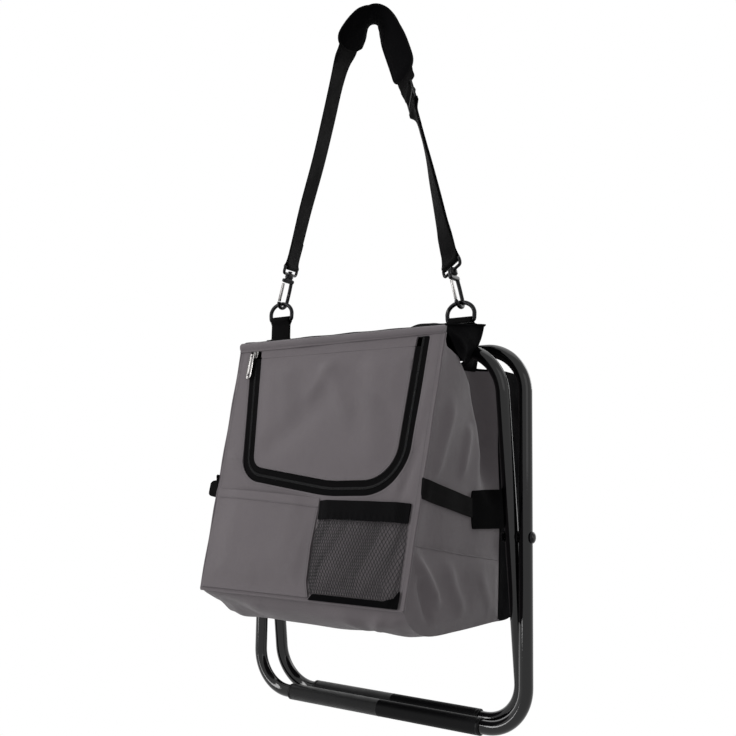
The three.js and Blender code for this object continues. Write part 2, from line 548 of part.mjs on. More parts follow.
// Ring tabs: webbing from one slope of the tent over the ring's bar to the other slope.
const layer = (webbing + clearance * 2) / 2;
const barWrap = ringWire / 2 + clearance * 3 + webbing / 2;
const tabFoot = strapWidth * 0.3, footEnd = Math.max(layer * 3, barWrap * 1.45);
for (const side of ['left', 'right']) {
  const bar = ringBarZ[side], low = ridgeZ + cloth + clearance + webbing, half = [];
  const slope = skin * 0.6 / ((ridgeY - frontTop.y) / 2);
  const onTent = (dy) => ridgeZ + cloth + clearance * 2 + webbing / 2 - dy * slope;
  half.push([ridgeY - tabFoot, onTent(tabFoot)], [ridgeY - footEnd, onTent(footEnd)]);
  if (bar - low > barWrap * 2) {
    half.push([ridgeY - layer, low + layer * 1.5], [ridgeY - layer, bar - barWrap * 1.4]);
  }
  for (const a of [190, 172, 145, 117, 90]) {
    half.push([ridgeY + barWrap * Math.cos(a * Math.PI / 180), bar + barWrap * Math.sin(a * Math.PI / 180)]);
  }
  const path = [...half, ...half.slice(0, -1).reverse().map(([y, z]) => [2 * ridgeY - y, z])];
  const stations = planeStations(path.map(([y, z]) => at(ringX[side], y, z)), axisX);
  add(`ring_tab_${side}`, loft(stations, barSection(webbing, tabWidth)), 'black');
}

// D-rings
const ringSteps = 12;
for (const side of ['left', 'right']) {
  const path = [], foot = ringHalf * 0.9, lift = ringHalf * 0.45, knee = ringHalf * 0.14;
  const onRing = (x, z) => path.push(at(ringX[side] + x, ridgeY, ringBarZ[side] + z));
  onRing(-ringHalf, knee);
  for (const k of [-1, 0, 1]) onRing(foot * k, 0);
  onRing(ringHalf, knee);
  for (let i = 0; i <= ringSteps; i++) {
    const a = Math.PI * i / ringSteps;
    onRing(ringHalf * Math.cos(a), lift + (ringHeight - lift) * Math.sin(a));
  }
  const wire = ringSection(ringWire / 2, wireSides);
  add(`d_ring_${side}`, loft(planeStations(path, axisY, true), wire, null, true), 'rivet');
}

// The strap's run. Each row has the place across and up from the hang point, the turn of the strap's width in
// degrees and the place to the rear. The places are shares of the hang height.
const overShares = [[-0.23, -0.5346, 107], [-0.1839, -0.3941, 106], [-0.1478, -0.2787, 105, -0.0043],
  [-0.1117, -0.1651, 104, -0.0108], [-0.0892, -0.1173, 99, -0.0173], [-0.0688, -0.0902, 92, -0.0217],
  [-0.0563, -0.0651, 89, -0.0238], [-0.043, -0.0416, 92, -0.0217], [-0.0282, -0.0161, 102, -0.0173],
  [-0.0152, 0.0019, 112, -0.0098], [0, 0.0113, 124], [0.0169, 0.0086, 134, 0.0087],
  [0.0305, -0.0051, 142, 0.0163], [0.0428, -0.029, 149, 0.0217], [0.0568, -0.0642, 154, 0.0238],
  [0.0735, -0.1006, 157, 0.0238], [0.0892, -0.141, 157, 0.0238], [0.1011, -0.1745, 156, 0.0228],
  [0.1105, -0.2027, 155, 0.0217], [0.1191, -0.2234, 150, 0.0195]];
const lowShares = [[0.1363, -0.2727, 134, 0.013], [0.1565, -0.3219, 124, 0.0108],
  [0.1752, -0.3738, 119.5, 0.0065], [0.1958, -0.4422, 121.5, 0.0033], [0.2154, -0.515, 128],
  [0.2328, -0.5854, 133], [0.249, -0.6546, 138], [0.2587, -0.6947, 143]];

// Swivel snap hooks. Each is built upright, with the middle of its bend at 0, then leaned towards its strap.
const eyeTurn = { left: 109 * Math.PI / 180, right: 149 * Math.PI / 180 };
const hookHead = strapWidth * 0.17, hookNeck = hookMouth + hookHead;
const shank = hookWire * 0.42, bossHeight = strapWidth * 0.2, bossRadius = hookWire * 1.15;
const eyeWire = hookWire * 0.8, eyeHeight = strapWidth * 0.25;
const eyeHalf = strapWidth / 2 + clearance * 2 + eyeWire;
const eyeLow = hookNeck + clearance * 2 + bossHeight - eyeWire / 2, eyeBar = eyeLow + eyeHeight;
const hookZ = (side) => ringBarZ[side] + ringHeight - ringWire / 2 - clearance * 2 - hookWire / 2;
const strapFoot = { left: overShares[0], right: lowShares.at(-1) };
function hookLean(side) {
  const [across, rise] = strapFoot[side];
  return Math.atan2(hang.x + across * hangHeight - ringX[side], hang.z + rise * hangHeight - hookZ(side));
}
const hookFrame = (side) => new THREE.Matrix4().makeTranslation(ringX[side], ridgeY, hookZ(side))
  .multiply(new THREE.Matrix4().makeRotationY(hookLean(side)));
for (const side of ['left', 'right']) {
  const bend = [], top = hookMouth;
  bend.push(at(0, hookBend * 0.95, top), at(0, hookBend, top * 0.72), at(0, hookBend, hookBend));
  for (let i = 1; i <= cornerSteps; i++) {
    const a = -Math.PI * i / cornerSteps;
    bend.push(at(0, hookBend * Math.cos(a), hookBend + hookBend * Math.sin(a)));
  }
  const wire = toManifold(loft(planeStations(bend, axisX), ringSection(hookWire / 2, wireSides)));
  const head = toManifold(new THREE.BoxGeometry(hookWire, 2 * hookBend + hookWire, hookHead)
    .translate(0, 0, top + hookHead / 2));
  const headTop = hookNeck + clearance * 2 + bossHeight + clearance;
  const stem = toManifold(rod(shank, headTop - top + clearance, stemSides).rotateX(Math.PI / 2)
    .translate(0, 0, (headTop + top + clearance) / 2));
  const cap = toManifold(rod(shank * 1.5, shank, stemSides).rotateX(Math.PI / 2)
    .translate(0, 0, headTop + shank / 2));
  const hook = fromManifold(wire.add(head).add(stem).add(cap));
  add(`snap_hook_${side}`, hook.applyMatrix4(hookFrame(side)), 'rivet');
  const gateLow = hookBend + hookWire * 0.12, gateHigh = top - hookWire * 0.18;
  const gate = new THREE.BoxGeometry(hookWire * 0.6, hookWire * 0.7, gateHigh - gateLow)
    .translate(0, -hookBend, (gateHigh + gateLow) / 2);
  add(`hook_gate_${side}`, gate.applyMatrix4(hookFrame(side)), 'metal');

  const w = eyeHalf - eyeWire / 2, c = eyeWire / 2, loop = [];
  for (const [x, z] of [[w - c, eyeLow], [w, eyeLow + c], [w, eyeBar - c], [w - c, eyeBar],
    [c - w, eyeBar], [-w, eyeBar - c], [-w, eyeLow + c], [c - w, eyeLow]]) loop.push(at(x, 0, z));
  const eyeSection = ringSection(eyeWire / 2, wireSides);
  const ring = toManifold(loft(planeStations(loop, axisY, true), eyeSection, null, true));
  const boss = toManifold(rod(bossRadius, bossHeight, roundSides).rotateX(Math.PI / 2)
    .translate(0, 0, hookNeck + clearance * 2 + bossHeight / 2));
  const bore = toManifold(rod(shank + clearance, bossHeight * 3, roundSides).rotateX(Math.PI / 2)
    .translate(0, 0, hookNeck + bossHeight / 2));
  const room = toManifold(rod(shank * 1.5 + clearance, eyeWire * 2, roundSides).rotateX(Math.PI / 2)
    .translate(0, 0, hookNeck + clearance * 2 + bossHeight + eyeWire));
  const eye = fromManifold(ring.add(boss).subtract(bore).subtract(room));
  add(`swivel_eye_${side}`, eye.rotateZ(eyeTurn[side]).applyMatrix4(hookFrame(side)), 'rivet');
}

// Shoulder strap: one webbing from the left eye over the hang point, through the tri-glide, round the
// right eye and back to the tri-glide.
const flat = (degrees) => at(Math.cos(degrees * Math.PI / 180), Math.sin(degrees * Math.PI / 180), 0);
const strapPoint = ([across, rise, turn, rear = 0]) => ({
  p: at(across, rear, rise).multiplyScalar(hangHeight).add(hang), w: flat(turn),
});
const wrap = eyeWire / 2 + clearance + webbing / 2;

// The turn of the webbing round an eye's bar, from one layer to the other.
function eyeLoop(side, tail) {
  const frame = hookFrame(side), w = flat(eyeTurn[side] * 180 / Math.PI), n = at(-w.y, w.x, 0), out = [];
  const local = (a, z) => n.clone().multiplyScalar(a).add(at(0, 0, z)).applyMatrix4(frame);
  const width = w.clone().transformDirection(frame);
  const near = eyeBar + wrap * 1.9;
  out.push({ p: local(-layer, eyeBar + tail), w: width }, { p: local(-layer, near), w: width });
  for (const a of [170, 210, 250, 290, 330, 370]) {
    const r = a * Math.PI / 180;
    out.push({ p: local(wrap * Math.cos(r), eyeBar + wrap * Math.sin(r)), w: width });
  }
  out.push({ p: local(layer, near), w: width });
  return out;
}
const tail = strapWidth * 0.95;
const over = overShares.map(strapPoint);
const low = lowShares.map(strapPoint);
const triAt = low[0].p, triDown = low[1].p.clone().sub(over.at(-1).p).normalize();
const triTurn = flat(lowShares[0][2]);
const triWidth = triTurn.addScaledVector(triDown, -triTurn.dot(triDown)).normalize();
const triNormal = triDown.clone().cross(triWidth).normalize();
const triRail = strapWidth * 0.08, triWindow = strapWidth * 0.23;
const triBar = strapWidth * 0.045, triThick = strapWidth * 0.06;
const weave = triThick / 2 + clearance + webbing / 2 + clearance;
const triEdge = triBar + triWindow;
const onTri = (down, out) => ({
  p: triAt.clone().addScaledVector(triDown, down).addScaledVector(triNormal, out), w: triWidth,
});
const weavePath = [[-triEdge - triRail, -weave], [-triEdge, -weave], [-triBar, weave], [triBar, weave],
  [triEdge, -weave], [triEdge + triRail, -weave], [triEdge + 2 * triRail, -weave]]
  .map(([a, b]) => onTri(a, b));
const shifted = (list, amount) => list.map(({ p, w }, i, all) => {
  const t = all[Math.min(i + 1, all.length - 1)].p.clone().sub(all[Math.max(i - 1, 0)].p).normalize();
  return { p: p.clone().addScaledVector(t.clone().cross(w).normalize(), amount), w };
});
const rightLoop = eyeLoop('right', tail * 0.5);
const lowLeg = low.slice(1);
const bottom = { p: rightLoop[0].p.clone().add(rightLoop.at(-1).p).divideScalar(2), w: rightLoop[0].w };
const down = shifted([...lowLeg, bottom], -layer).slice(0, -1);
const back = shifted([...lowLeg, bottom], layer).slice(0, -1).reverse();
const strapPath = [...eyeLoop('left', tail), ...over, ...weavePath, ...down, ...rightLoop.slice(1), ...back,
  onTri(triEdge + 2 * triRail, weave), onTri(triEdge + triRail, weave), onTri(triEdge + clearance, weave)];
// The strap and its pad have points at the same shares of their widths, so that they twist alike.
// Each point is a share of the half width and of the half thickness. The pad has a crown and thin edges.
const padSectionShares = [[-1, -0.35], [-0.72, -0.8], [0, -1], [0.72, -0.8], [1, -0.35], [1, 0.35],
  [0.72, 0.8], [0, 1], [-0.72, 0.8], [-1, 0.35]];
const flatSection = (half, thickness) =>
  padSectionShares.map(([a, b]) => [a * half, Math.sign(b) * thickness]);
add('shoulder_strap', loft(strapStations(strapPath.map((s) => s.p), strapPath.map((s) => s.w)),
  flatSection(strapWidth / 2, webbing / 2)), 'black');
const windowHalf = strapWidth / 2 + clearance * 2, triHalf = windowHalf + triRail;
const triHigh = triEdge + triRail;
const window = (a) => frame(-windowHalf, a, windowHalf, a + triWindow);
const triOrigin = triAt.clone().addScaledVector(triNormal, -triThick / 2);
add('tri_glide', plate(frame(-triHalf, -triHigh, triHalf, triHigh), triOrigin, triWidth,
  triNormal.clone().cross(triWidth), triNormal, triThick, [window(triBar), window(-triEdge)]), 'plastic');

// Shoulder pad: a padded sleeve that is folded over the hang point.
const padWidth = strapWidth * 1.4, padThickness = hangHeight * 0.0208;
const padStations = strapStations(over.map((s) => s.p), over.map((s) => s.w)).slice(5, -1);
const padHalf = { width: padWidth / 2, thickness: padThickness / 2 - clearance };
const padSection = padSectionShares.map(([a, b]) => [a * padHalf.width, b * padHalf.thickness]);
const sleeveSection = flatSection(strapWidth / 2 + 2 * clearance, webbing / 2 + 3 * clearance);
add('shoulder_pad', loft(padStations, padSection, sleeveSection), 'black');

// Spacers between the two loops.
for (const [side, sign] of [['left', -1], ['right', 1]]) {
  const half = (spacerThickness - 2 * clearance) / 2;
  const middle = loopWidth / 2 - tubeRadius - spacerThickness / 2;
  const stations = [-half, half].map((x) => ({ p: at(sign * middle + x, 0, 0), u: axisY, v: axisZ }));
  add(`spacer_${side}`, loft(stations, ringSection(rivetHeadRadius, roundSides),
    ringSection(rivetRadius + clearance, roundSides)), 'nylon');
}

export default group;
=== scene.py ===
# %% [markdown]
# # A folding cooler stool
# This file builds the looks of a folding stool with a cooler bag, folded flat and hung by its strap.
# The rigid model already gives each piece its place. Here each piece gets its real form and its finish.

import math

import bpy
import numpy as np
from mathutils import Matrix, Vector
from mathutils.geometry import delaunay_2d_cdt


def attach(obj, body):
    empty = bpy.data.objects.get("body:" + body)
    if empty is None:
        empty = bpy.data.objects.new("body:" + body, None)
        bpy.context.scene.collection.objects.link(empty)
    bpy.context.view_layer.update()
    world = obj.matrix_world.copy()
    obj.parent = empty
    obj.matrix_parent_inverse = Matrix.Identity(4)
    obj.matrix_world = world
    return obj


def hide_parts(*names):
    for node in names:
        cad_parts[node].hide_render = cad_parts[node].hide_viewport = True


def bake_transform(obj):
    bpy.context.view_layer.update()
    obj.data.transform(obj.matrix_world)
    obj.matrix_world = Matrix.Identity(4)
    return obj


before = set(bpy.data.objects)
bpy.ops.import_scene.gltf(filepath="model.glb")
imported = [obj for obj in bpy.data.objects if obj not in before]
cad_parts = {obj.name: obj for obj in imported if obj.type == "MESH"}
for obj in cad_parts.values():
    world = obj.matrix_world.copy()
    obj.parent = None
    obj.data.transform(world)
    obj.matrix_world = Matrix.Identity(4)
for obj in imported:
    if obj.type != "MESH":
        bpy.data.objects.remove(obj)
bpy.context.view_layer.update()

# %% [markdown]
# ## Sizes
# All sizes are in millimetres around the pivot of the two loops, because the object was measured that way.
# `place` turns them into metres around the hang point, which is the frame that everything shares.

# %% Sizes and places
TUBE_R = 8.2
LOOP_W, LOOP_H, INNER_W, CORNER = 407.0, 444.0, 370.92, 51.95
LEAN = math.radians(7.75)
RAIL_Z = LOOP_H / 2
TOP_HALF, BASE_HALF = 156.836, 148.995
RIDGE_Y, RIDGE_Z = -31.213, 250.536
FRONT_TOP, FRONT_BASE = (-104.96, 239.01), (-173.96, -71.93)
REAR_TOP, REAR_BASE = (80.01, 200.02), (96.88, -79.92)
BASE_Z, SPLIT_Y = -103.9, 35.08
PANEL_LEAN = math.atan2(FRONT_TOP[0] - FRONT_BASE[0], FRONT_TOP[1] - FRONT_BASE[1])
PANEL_H = math.hypot(FRONT_TOP[0] - FRONT_BASE[0], FRONT_TOP[1] - FRONT_BASE[1])
RING_X = {"left": -155.582, "right": 133.048}
BAR_Z = {"left": 281.928, "right": 256.232}
HANG = np.array([-9.711, -31.213, 683.4])
SIDES = (("left", -1), ("right", 1))


def place(points):
    """Millimetres around the pivot, to metres around the hang point."""
    return (np.asarray(points, float) - HANG) / 1000


def smooth(t):
    t = np.clip(t, 0, 1)
    return t * t * (3 - 2 * t)


def unit(v):
    return v / np.linalg.norm(v, axis=-1, keepdims=True)


def across_to(hint, t):
    """The hint's part at right angles to the directions t, at length 1."""
    return unit(hint - t * (hint * t).sum(1)[:, None])


def run_of(path):
    """The length of the path up to each of its points."""
    return np.concatenate([[0], np.cumsum(np.linalg.norm(np.diff(path, axis=0), axis=1))])


def at_run(s, run, values):
    return np.stack([np.interp(s, run, column) for column in values.T], 1)


print("panel height", round(PANEL_H, 1), "lean", round(math.degrees(PANEL_LEAN), 2))

# %% [markdown]
# ## A small language for shader maths
# Procedural materials are sums and products of coordinates. Wrapping a node socket in a class with the
# usual operators lets a weave be written as a formula, and each operator adds one Math node.


# %% Shader maths
class S:
    """A socket that can be used in a formula."""

    def __init__(self, tree, socket):
        self.tree, self.socket = tree, socket

    def _op(self, op, *others):
        node = self.tree.nodes.new("ShaderNodeMath")
        node.operation = op
        for i, x in enumerate((self, *others)):
            if isinstance(x, S):
                self.tree.links.new(x.socket, node.inputs[i])
            else:
                node.inputs[i].default_value = float(x)
        return S(self.tree, node.outputs[0])

    def __add__(self, o):
        return self._op("ADD", o)

    def __mul__(self, o):
        return self._op("MULTIPLY", o)

    def __truediv__(self, o):
        return self._op("DIVIDE", o)

    def sin(self):
        return self._op("SINE")

    def abs(self):
        return self._op("ABSOLUTE")

    def floor(self):
        return self._op("FLOOR")

    def mod(self, o):
        return self._op("FLOORED_MODULO", o)

    def max(self, o):
        return self._op("MAXIMUM", o)

    def ramp(self, low, high, a=0.0, b=1.0):
        node = self.tree.nodes.new("ShaderNodeMapRange")
        node.interpolation_type = "SMOOTHSTEP"
        self.tree.links.new(self.socket, node.inputs["Value"])
        for name, x in (("From Min", low), ("From Max", high), ("To Min", a), ("To Max", b)):
            node.inputs[name].default_value = x
        return S(self.tree, node.outputs["Result"])


# %% [markdown]
# ## Materials
# Each material starts from one helper that gives a Principled shader, the object's own coordinates and the
# piece's UV map in metres. Along the way a material may set colour, roughness and bump, and nothing else.


# %% Material helper
class Look:
    def __init__(self, name, color, roughness, metallic=0.0, **sockets):
        self.mat = bpy.data.materials.new(name)
        self.mat.use_nodes = True
        self.tree = self.mat.node_tree
        self.bsdf = self.tree.nodes["Principled BSDF"]
        self.bsdf.inputs["Base Color"].default_value = (*color, 1)
        self.bsdf.inputs["Roughness"].default_value = roughness
        self.bsdf.inputs["Metallic"].default_value = metallic
        for key, value in sockets.items():
            self.bsdf.inputs[key.replace("_", " ")].default_value = value
        coords = self.tree.nodes.new("ShaderNodeTexCoord")
        self.object, self.uv = coords.outputs["Object"], coords.outputs["UV"]
        self.mat.diffuse_color = (*color, 1)

    def flat(self):
        """The two directions of the UV map, in metres."""
        split = self.tree.nodes.new("ShaderNodeSeparateXYZ")
        self.tree.links.new(self.uv, split.inputs[0])
        return [S(self.tree, split.outputs[i]) for i in range(2)]

    def noise(self, scale, detail=3.0):
        node = self.tree.nodes.new("ShaderNodeTexNoise")
        node.inputs["Scale"].default_value = scale
        node.inputs["Detail"].default_value = detail
        node.inputs["Roughness"].default_value = 0.55
        self.tree.links.new(self.object, node.inputs["Vector"])
        return S(self.tree, node.outputs["Fac"])

    def tint(self, factor, dark, light):
        mix = self.tree.nodes.new("ShaderNodeMix")
        mix.data_type = "RGBA"
        self.tree.links.new(factor.socket, mix.inputs[0])
        mix.inputs[6].default_value = (*dark, 1)
        mix.inputs[7].default_value = (*light, 1)
        self.tree.links.new(mix.outputs[2], self.bsdf.inputs["Base Color"])

    def rough(self, value):
        self.tree.links.new(value.socket, self.bsdf.inputs["Roughness"])

    def bump(self, *layers):
        """Each layer is a height and its depth in metres."""
        last = None
        for height, depth in layers:
            node = self.tree.nodes.new("ShaderNodeBump")
            node.inputs["Distance"].default_value = depth
            self.tree.links.new(height.socket, node.inputs["Height"])
            if last:
                self.tree.links.new(last, node.inputs["Normal"])
            last = node.outputs["Normal"]
        self.tree.links.new(last, self.bsdf.inputs["Normal"])


# %% [markdown]
# ### The bag's cloth
# The bag is coated polyester: a fine plain weave with a faint sheen, a little uneven in tone, slightly
# darker in the pores of the weave. The weave is a bump on the UV map, so that it follows each panel. The
# black cloth of the seat and of the bag's rear is the same weave with no sheen.

# %% Cloth
YARN, YARN_DEPTH, PUCKER_DEPTH = 0.0008, 0.00012, 0.0007


def weave(look):
    """Plain weave: two sets of yarns that pass over and under each other."""
    a, b = (x * (math.pi / YARN) for x in look.flat())
    over = ((a / math.pi).floor() + (b / math.pi).floor()).mod(2.0)
    return a.sin().abs() * over + b.sin().abs() * (over * -1.0 + 1.0)


def cloth_look(name, dark, light, roughness, sheen, specular):
    look = Look(name, light, roughness, Sheen_Weight=sheen, Sheen_Roughness=0.45,
                Specular_IOR_Level=specular)
    yarn, patch, grain = weave(look), look.noise(18.0), look.noise(900.0, 2.0)
    look.tint(yarn * 0.35 + patch * 0.45 + grain * 0.25, dark, light)
    look.rough(patch.ramp(0.3, 0.7, roughness - 0.07, roughness + 0.08))
    look.bump((yarn, YARN_DEPTH), (look.noise(70.0), PUCKER_DEPTH), (grain, YARN_DEPTH * 0.4))
    return look


GREY = cloth_look("grey coated cloth", (0.085, 0.074, 0.080), (0.185, 0.165, 0.175), 0.62, 0.2, 0.2)
BLACK = cloth_look("black cloth", (0.0012, 0.0012, 0.0014), (0.005, 0.0048, 0.0054), 0.8, 0.0, 0.015)
print("cloth materials made")

# %% [markdown]
# ### Webbing, tape and elastic
# Webbing is woven with thick ribs across its width and a fine slanted line over each rib. Zip tape and the
# elastic binding share that formula. They differ in the spacing of the ribs, in tone and in roughness.


# %% Webbing, tape and elastic
def ribbed_look(name, dark, light, rib, roughness):
    look = Look(name, light, roughness, Sheen_Weight=0.005, Specular_IOR_Level=0.02)
    u, v = look.flat()
    ridge = (u * (math.pi / rib)).sin().abs()
    slant = ((v + u * 0.5) * (math.pi / (rib * 0.7))).sin().abs()
    dust = look.noise(30.0)
    look.tint(ridge * 0.45 + slant * 0.2 + dust * 0.35, dark, light)
    look.rough(dust.ramp(0.3, 0.75, roughness - 0.06, roughness + 0.1))
    look.bump((ridge, 0.00022), (slant, 0.0001))
    return look


WEBBING = ribbed_look("black webbing", (0.0012, 0.0012, 0.0012), (0.006, 0.0057, 0.006), 0.0014, 0.66)
TAPE = ribbed_look("zip tape", (0.0015, 0.0015, 0.0017), (0.006, 0.0057, 0.006), 0.0009, 0.7)
ELASTIC = ribbed_look("elastic binding", (0.0015, 0.0015, 0.0015), (0.008, 0.0077, 0.0085), 0.0016, 0.72)
NET = Look("net yarn", (0.012, 0.0115, 0.0125), 0.6, Specular_IOR_Level=0.3)
THREAD = Look("thread", (0.10, 0.092, 0.098), 0.6, Sheen_Weight=0.2)
PILE = Look("hook and loop pile", (0.003, 0.003, 0.0035), 0.9, Specular_IOR_Level=0.01)
pile = PILE.noise(1600.0)
PILE.tint(pile, (0.0008, 0.0008, 0.0008), (0.006, 0.006, 0.0065))
PILE.bump((pile, 0.0004))
print("narrow goods made")

# %% [markdown]
# ### Metals, plastic and rubber
# Powder coat is glossy and black with a faint orange peel. The hooks and rings are black plated metal that
# is a little worn, and the zip's slider is plain nickel. Sleeves and buckle are moulded and duller.

# %% Hard materials
COAT = Look("black powder coat", (0.0025, 0.0025, 0.003), 0.1, Coat_Weight=0.25, Coat_Roughness=0.05,
            Specular_IOR_Level=0.25)
COAT.rough(COAT.noise(24.0, 4.0).ramp(0.35, 0.8, 0.05, 0.13))
COAT.bump((COAT.noise(420.0, 2.0), 0.00005))

DARK_METAL = Look("black plated metal", (0.012, 0.012, 0.013), 0.28, 0.85, Specular_IOR_Level=0.2)
wear = DARK_METAL.noise(160.0, 4.0)
DARK_METAL.tint(wear.ramp(0.55, 0.8), (0.011, 0.011, 0.012), (0.09, 0.087, 0.084))
DARK_METAL.rough(wear.ramp(0.3, 0.8, 0.2, 0.42))

NICKEL = Look("nickel", (0.16, 0.155, 0.152), 0.34, 1.0)
scratch = NICKEL.noise(260.0, 4.0)
NICKEL.rough(scratch.ramp(0.3, 0.8, 0.16, 0.4))
NICKEL.bump((scratch, 0.00002))

PLASTIC = Look("black plastic", (0.005, 0.005, 0.0055), 0.42, Specular_IOR_Level=0.12)
PLASTIC.bump((PLASTIC.noise(1400.0, 2.0), 0.00003))
RUBBER = Look("foot sleeve", (0.004, 0.004, 0.0045), 0.4, Specular_IOR_Level=0.12)
RUBBER.rough(RUBBER.noise(60.0).ramp(0.3, 0.75, 0.36, 0.42))
RUBBER.bump((RUBBER.noise(900.0, 2.0), 0.00004))

LINER = Look("silver liner", (0.55, 0.56, 0.58), 0.34, 0.75)
crinkle = LINER.noise(95.0, 5.0)
LINER.tint(crinkle, (0.42, 0.43, 0.45), (0.72, 0.73, 0.75))
LINER.bump((crinkle, 0.0012))
print("hard materials made")

# %% [markdown]
# ## Helpers for meshes
# Three helpers build nearly everything: `mesh_piece` makes an object from points and faces, `sweep` runs a
# section along a path, and `cloth` fills an outline with a fine net of triangles, bends it and thickens it.


# %% Mesh helpers
def add_object(name, data):
    obj = bpy.data.objects.new(name, data)
    bpy.context.scene.collection.objects.link(obj)
    return obj


def baked(obj):
    """The mesh that the object's modifiers make."""
    deps = bpy.context.evaluated_depsgraph_get()
    return bpy.data.meshes.new_from_object(obj.evaluated_get(deps))


def mesh_piece(name, points, faces, look, uvs, sharp=35.0):
    me = bpy.data.meshes.new(name)
    me.from_pydata([tuple(p) for p in place(points)], [], [tuple(int(i) for i in f) for f in faces])
    me.update()
    layer = me.uv_layers.new(name="UVMap")
    index = np.empty(len(me.loops), np.int64)
    me.loops.foreach_get("vertex_index", index)
    layer.data.foreach_set("uv", np.asarray(uvs, float)[index].ravel())
    me.polygons.foreach_set("use_smooth", [True] * len(me.polygons))
    me.set_sharp_from_angle(angle=math.radians(sharp))
    me.materials.append(look.mat)
    return add_object(name, me)


def ring(radius, sides, radius2=None):
    a = np.arange(sides) * 2 * math.pi / sides
    return np.stack([radius * np.cos(a), (radius2 or radius) * np.sin(a)], 1)


def tube_faces(rows, sides, closed=False):
    """Faces round a row of equal sections, with a cap at each end unless the row closes on itself."""
    faces = [(i * sides + k, i * sides + (k + 1) % sides, (i + 1) % rows * sides + (k + 1) % sides,
              (i + 1) % rows * sides + k) for i in range(rows if closed else rows - 1) for k in range(sides)]
    if not closed:
        faces += [tuple(range(sides))[::-1], tuple((rows - 1) * sides + k for k in range(sides))]
    return faces


def sweep(path, section, hint, closed=False):
    """Points, faces and UVs of a section that runs along a path. Its first axis stays near to the hint."""
    p, s = np.asarray(path, float), np.asarray(section, float)
    t = unit(np.roll(p, -1, 0) - np.roll(p, 1, 0) if closed else np.gradient(p, axis=0))
    u = across_to(np.broadcast_to(np.asarray(hint, float), p.shape), t)
    v = np.cross(t, u)
    points = (p[:, None] + u[:, None] * s[None, :, :1] + v[:, None] * s[None, :, 1:]).reshape(-1, 3)
    uvs = np.stack(np.meshgrid(run_of(p) / 1000, run_of(s) / 1000, indexing="ij"), -1).reshape(-1, 2)
    return points, tube_faces(len(p), len(s), closed), uvs


def join(*parts):
    points, faces, uvs, base = [], [], [], 0
    for p, f, t in parts:
        points.append(p)
        uvs.append(t)
        faces += [tuple(i + base for i in face) for face in f]
        base += len(p)
    return np.concatenate(points), faces, np.concatenate(uvs)


def resample(path, step):
    p = np.asarray(path, float)
    run = run_of(p)
    n = max(int(round(run[-1] / step)), 1)
    return at_run(np.linspace(0, run[-1], n + 1), run, p)


def closed_path(path, step):
    return resample(np.vstack([path, path[:1]]), step)[:-1]


def spline(points, count):
    """A smooth curve through the points."""
    p = np.asarray(points, float)
    d = np.concatenate([[0], np.cumsum(np.linalg.norm(np.diff(p[:, :3], axis=0), axis=1) ** 0.5)])
    m = np.gradient(p, d, axis=0)
    out = []
    for x in np.linspace(0, d[-1], count):
        i = min(np.searchsorted(d, x, side="right") - 1, len(d) - 2)
        h = d[i + 1] - d[i]
        s = (x - d[i]) / h
        out.append((2 * s**3 - 3 * s**2 + 1) * p[i] + (s**3 - 2 * s**2 + s) * h * m[i]
                   + (3 * s**2 - 2 * s**3) * p[i + 1] + (s**3 - s**2) * h * m[i + 1])
    return np.array(out)


def inside(points, outline):
    x, y = points[:, 0], points[:, 1]
    o = np.asarray(outline, float)
    hit = np.zeros(len(points), bool)
    for a, b in zip(o, np.roll(o, -1, 0)):
        if a[1] == b[1]:
            continue
        cross = (a[1] > y) != (b[1] > y)
        hit ^= cross & (x < (b[0] - a[0]) * (y - a[1]) / (b[1] - a[1]) + a[0])
    return hit


def edge_distance(points, outline, closed=True):
    o = np.asarray(outline, float)
    ends = np.roll(o, -1, 0) if closed else o[1:]
    best = np.full(len(points), 1e9)
    for a, b in zip(o, ends):
        d = b - a
        t = np.clip(((points - a) @ d) / max(d @ d, 1e-9), 0, 1)
        best = np.minimum(best, np.linalg.norm(points - a - t[:, None] * d, axis=1))
    return best


def fill(outline, step, holes=()):
    """A fine triangle net inside a flat outline: its points and its faces."""
    loops = [np.asarray(o, float) for o in (outline, *holes)]

    def within(points):
        ok = inside(points, loops[0])
        for h in loops[1:]:
            ok &= ~inside(points, h)
        return ok

    points, edges = [], []
    for o in loops:
        dense = closed_path(o, step)
        base = len(points)
        points += dense.tolist()
        edges += [(base + i, base + (i + 1) % len(dense)) for i in range(len(dense))]
    lo, hi = loops[0].min(0), loops[0].max(0)
    xs, ys = np.arange(lo[0] + step / 2, hi[0], step), np.arange(lo[1] + step / 2, hi[1], step)
    grid = np.stack(np.meshgrid(xs, ys), -1).reshape(-1, 2)
    ok = within(grid)
    for o in loops:
        ok &= edge_distance(grid, o) > step * 0.55
    every = np.vstack([np.array(points), grid[ok]])
    verts, _, faces, *_ = delaunay_2d_cdt([Vector(p) for p in every], edges, [], 0, 1e-6)
    verts = np.array([tuple(v) for v in verts])
    faces = np.array([f for f in faces if len(f) == 3])
    return verts, faces[within(verts[faces].mean(1))]


def thicken(top, bottom, faces):
    """A closed skin from a top and a bottom sheet with the same faces."""
    n = len(top)
    sides = {e: 1 for a, b, c in faces for e in ((a, b), (b, c), (c, a))}
    rim = [(a, b) for a, b in sides if (b, a) not in sides]
    out = [tuple(f) for f in faces] + [(c + n, b + n, a + n) for a, b, c in faces]
    out += [(b, a, a + n, b + n) for a, b in rim]
    return np.vstack([top, bottom]), out


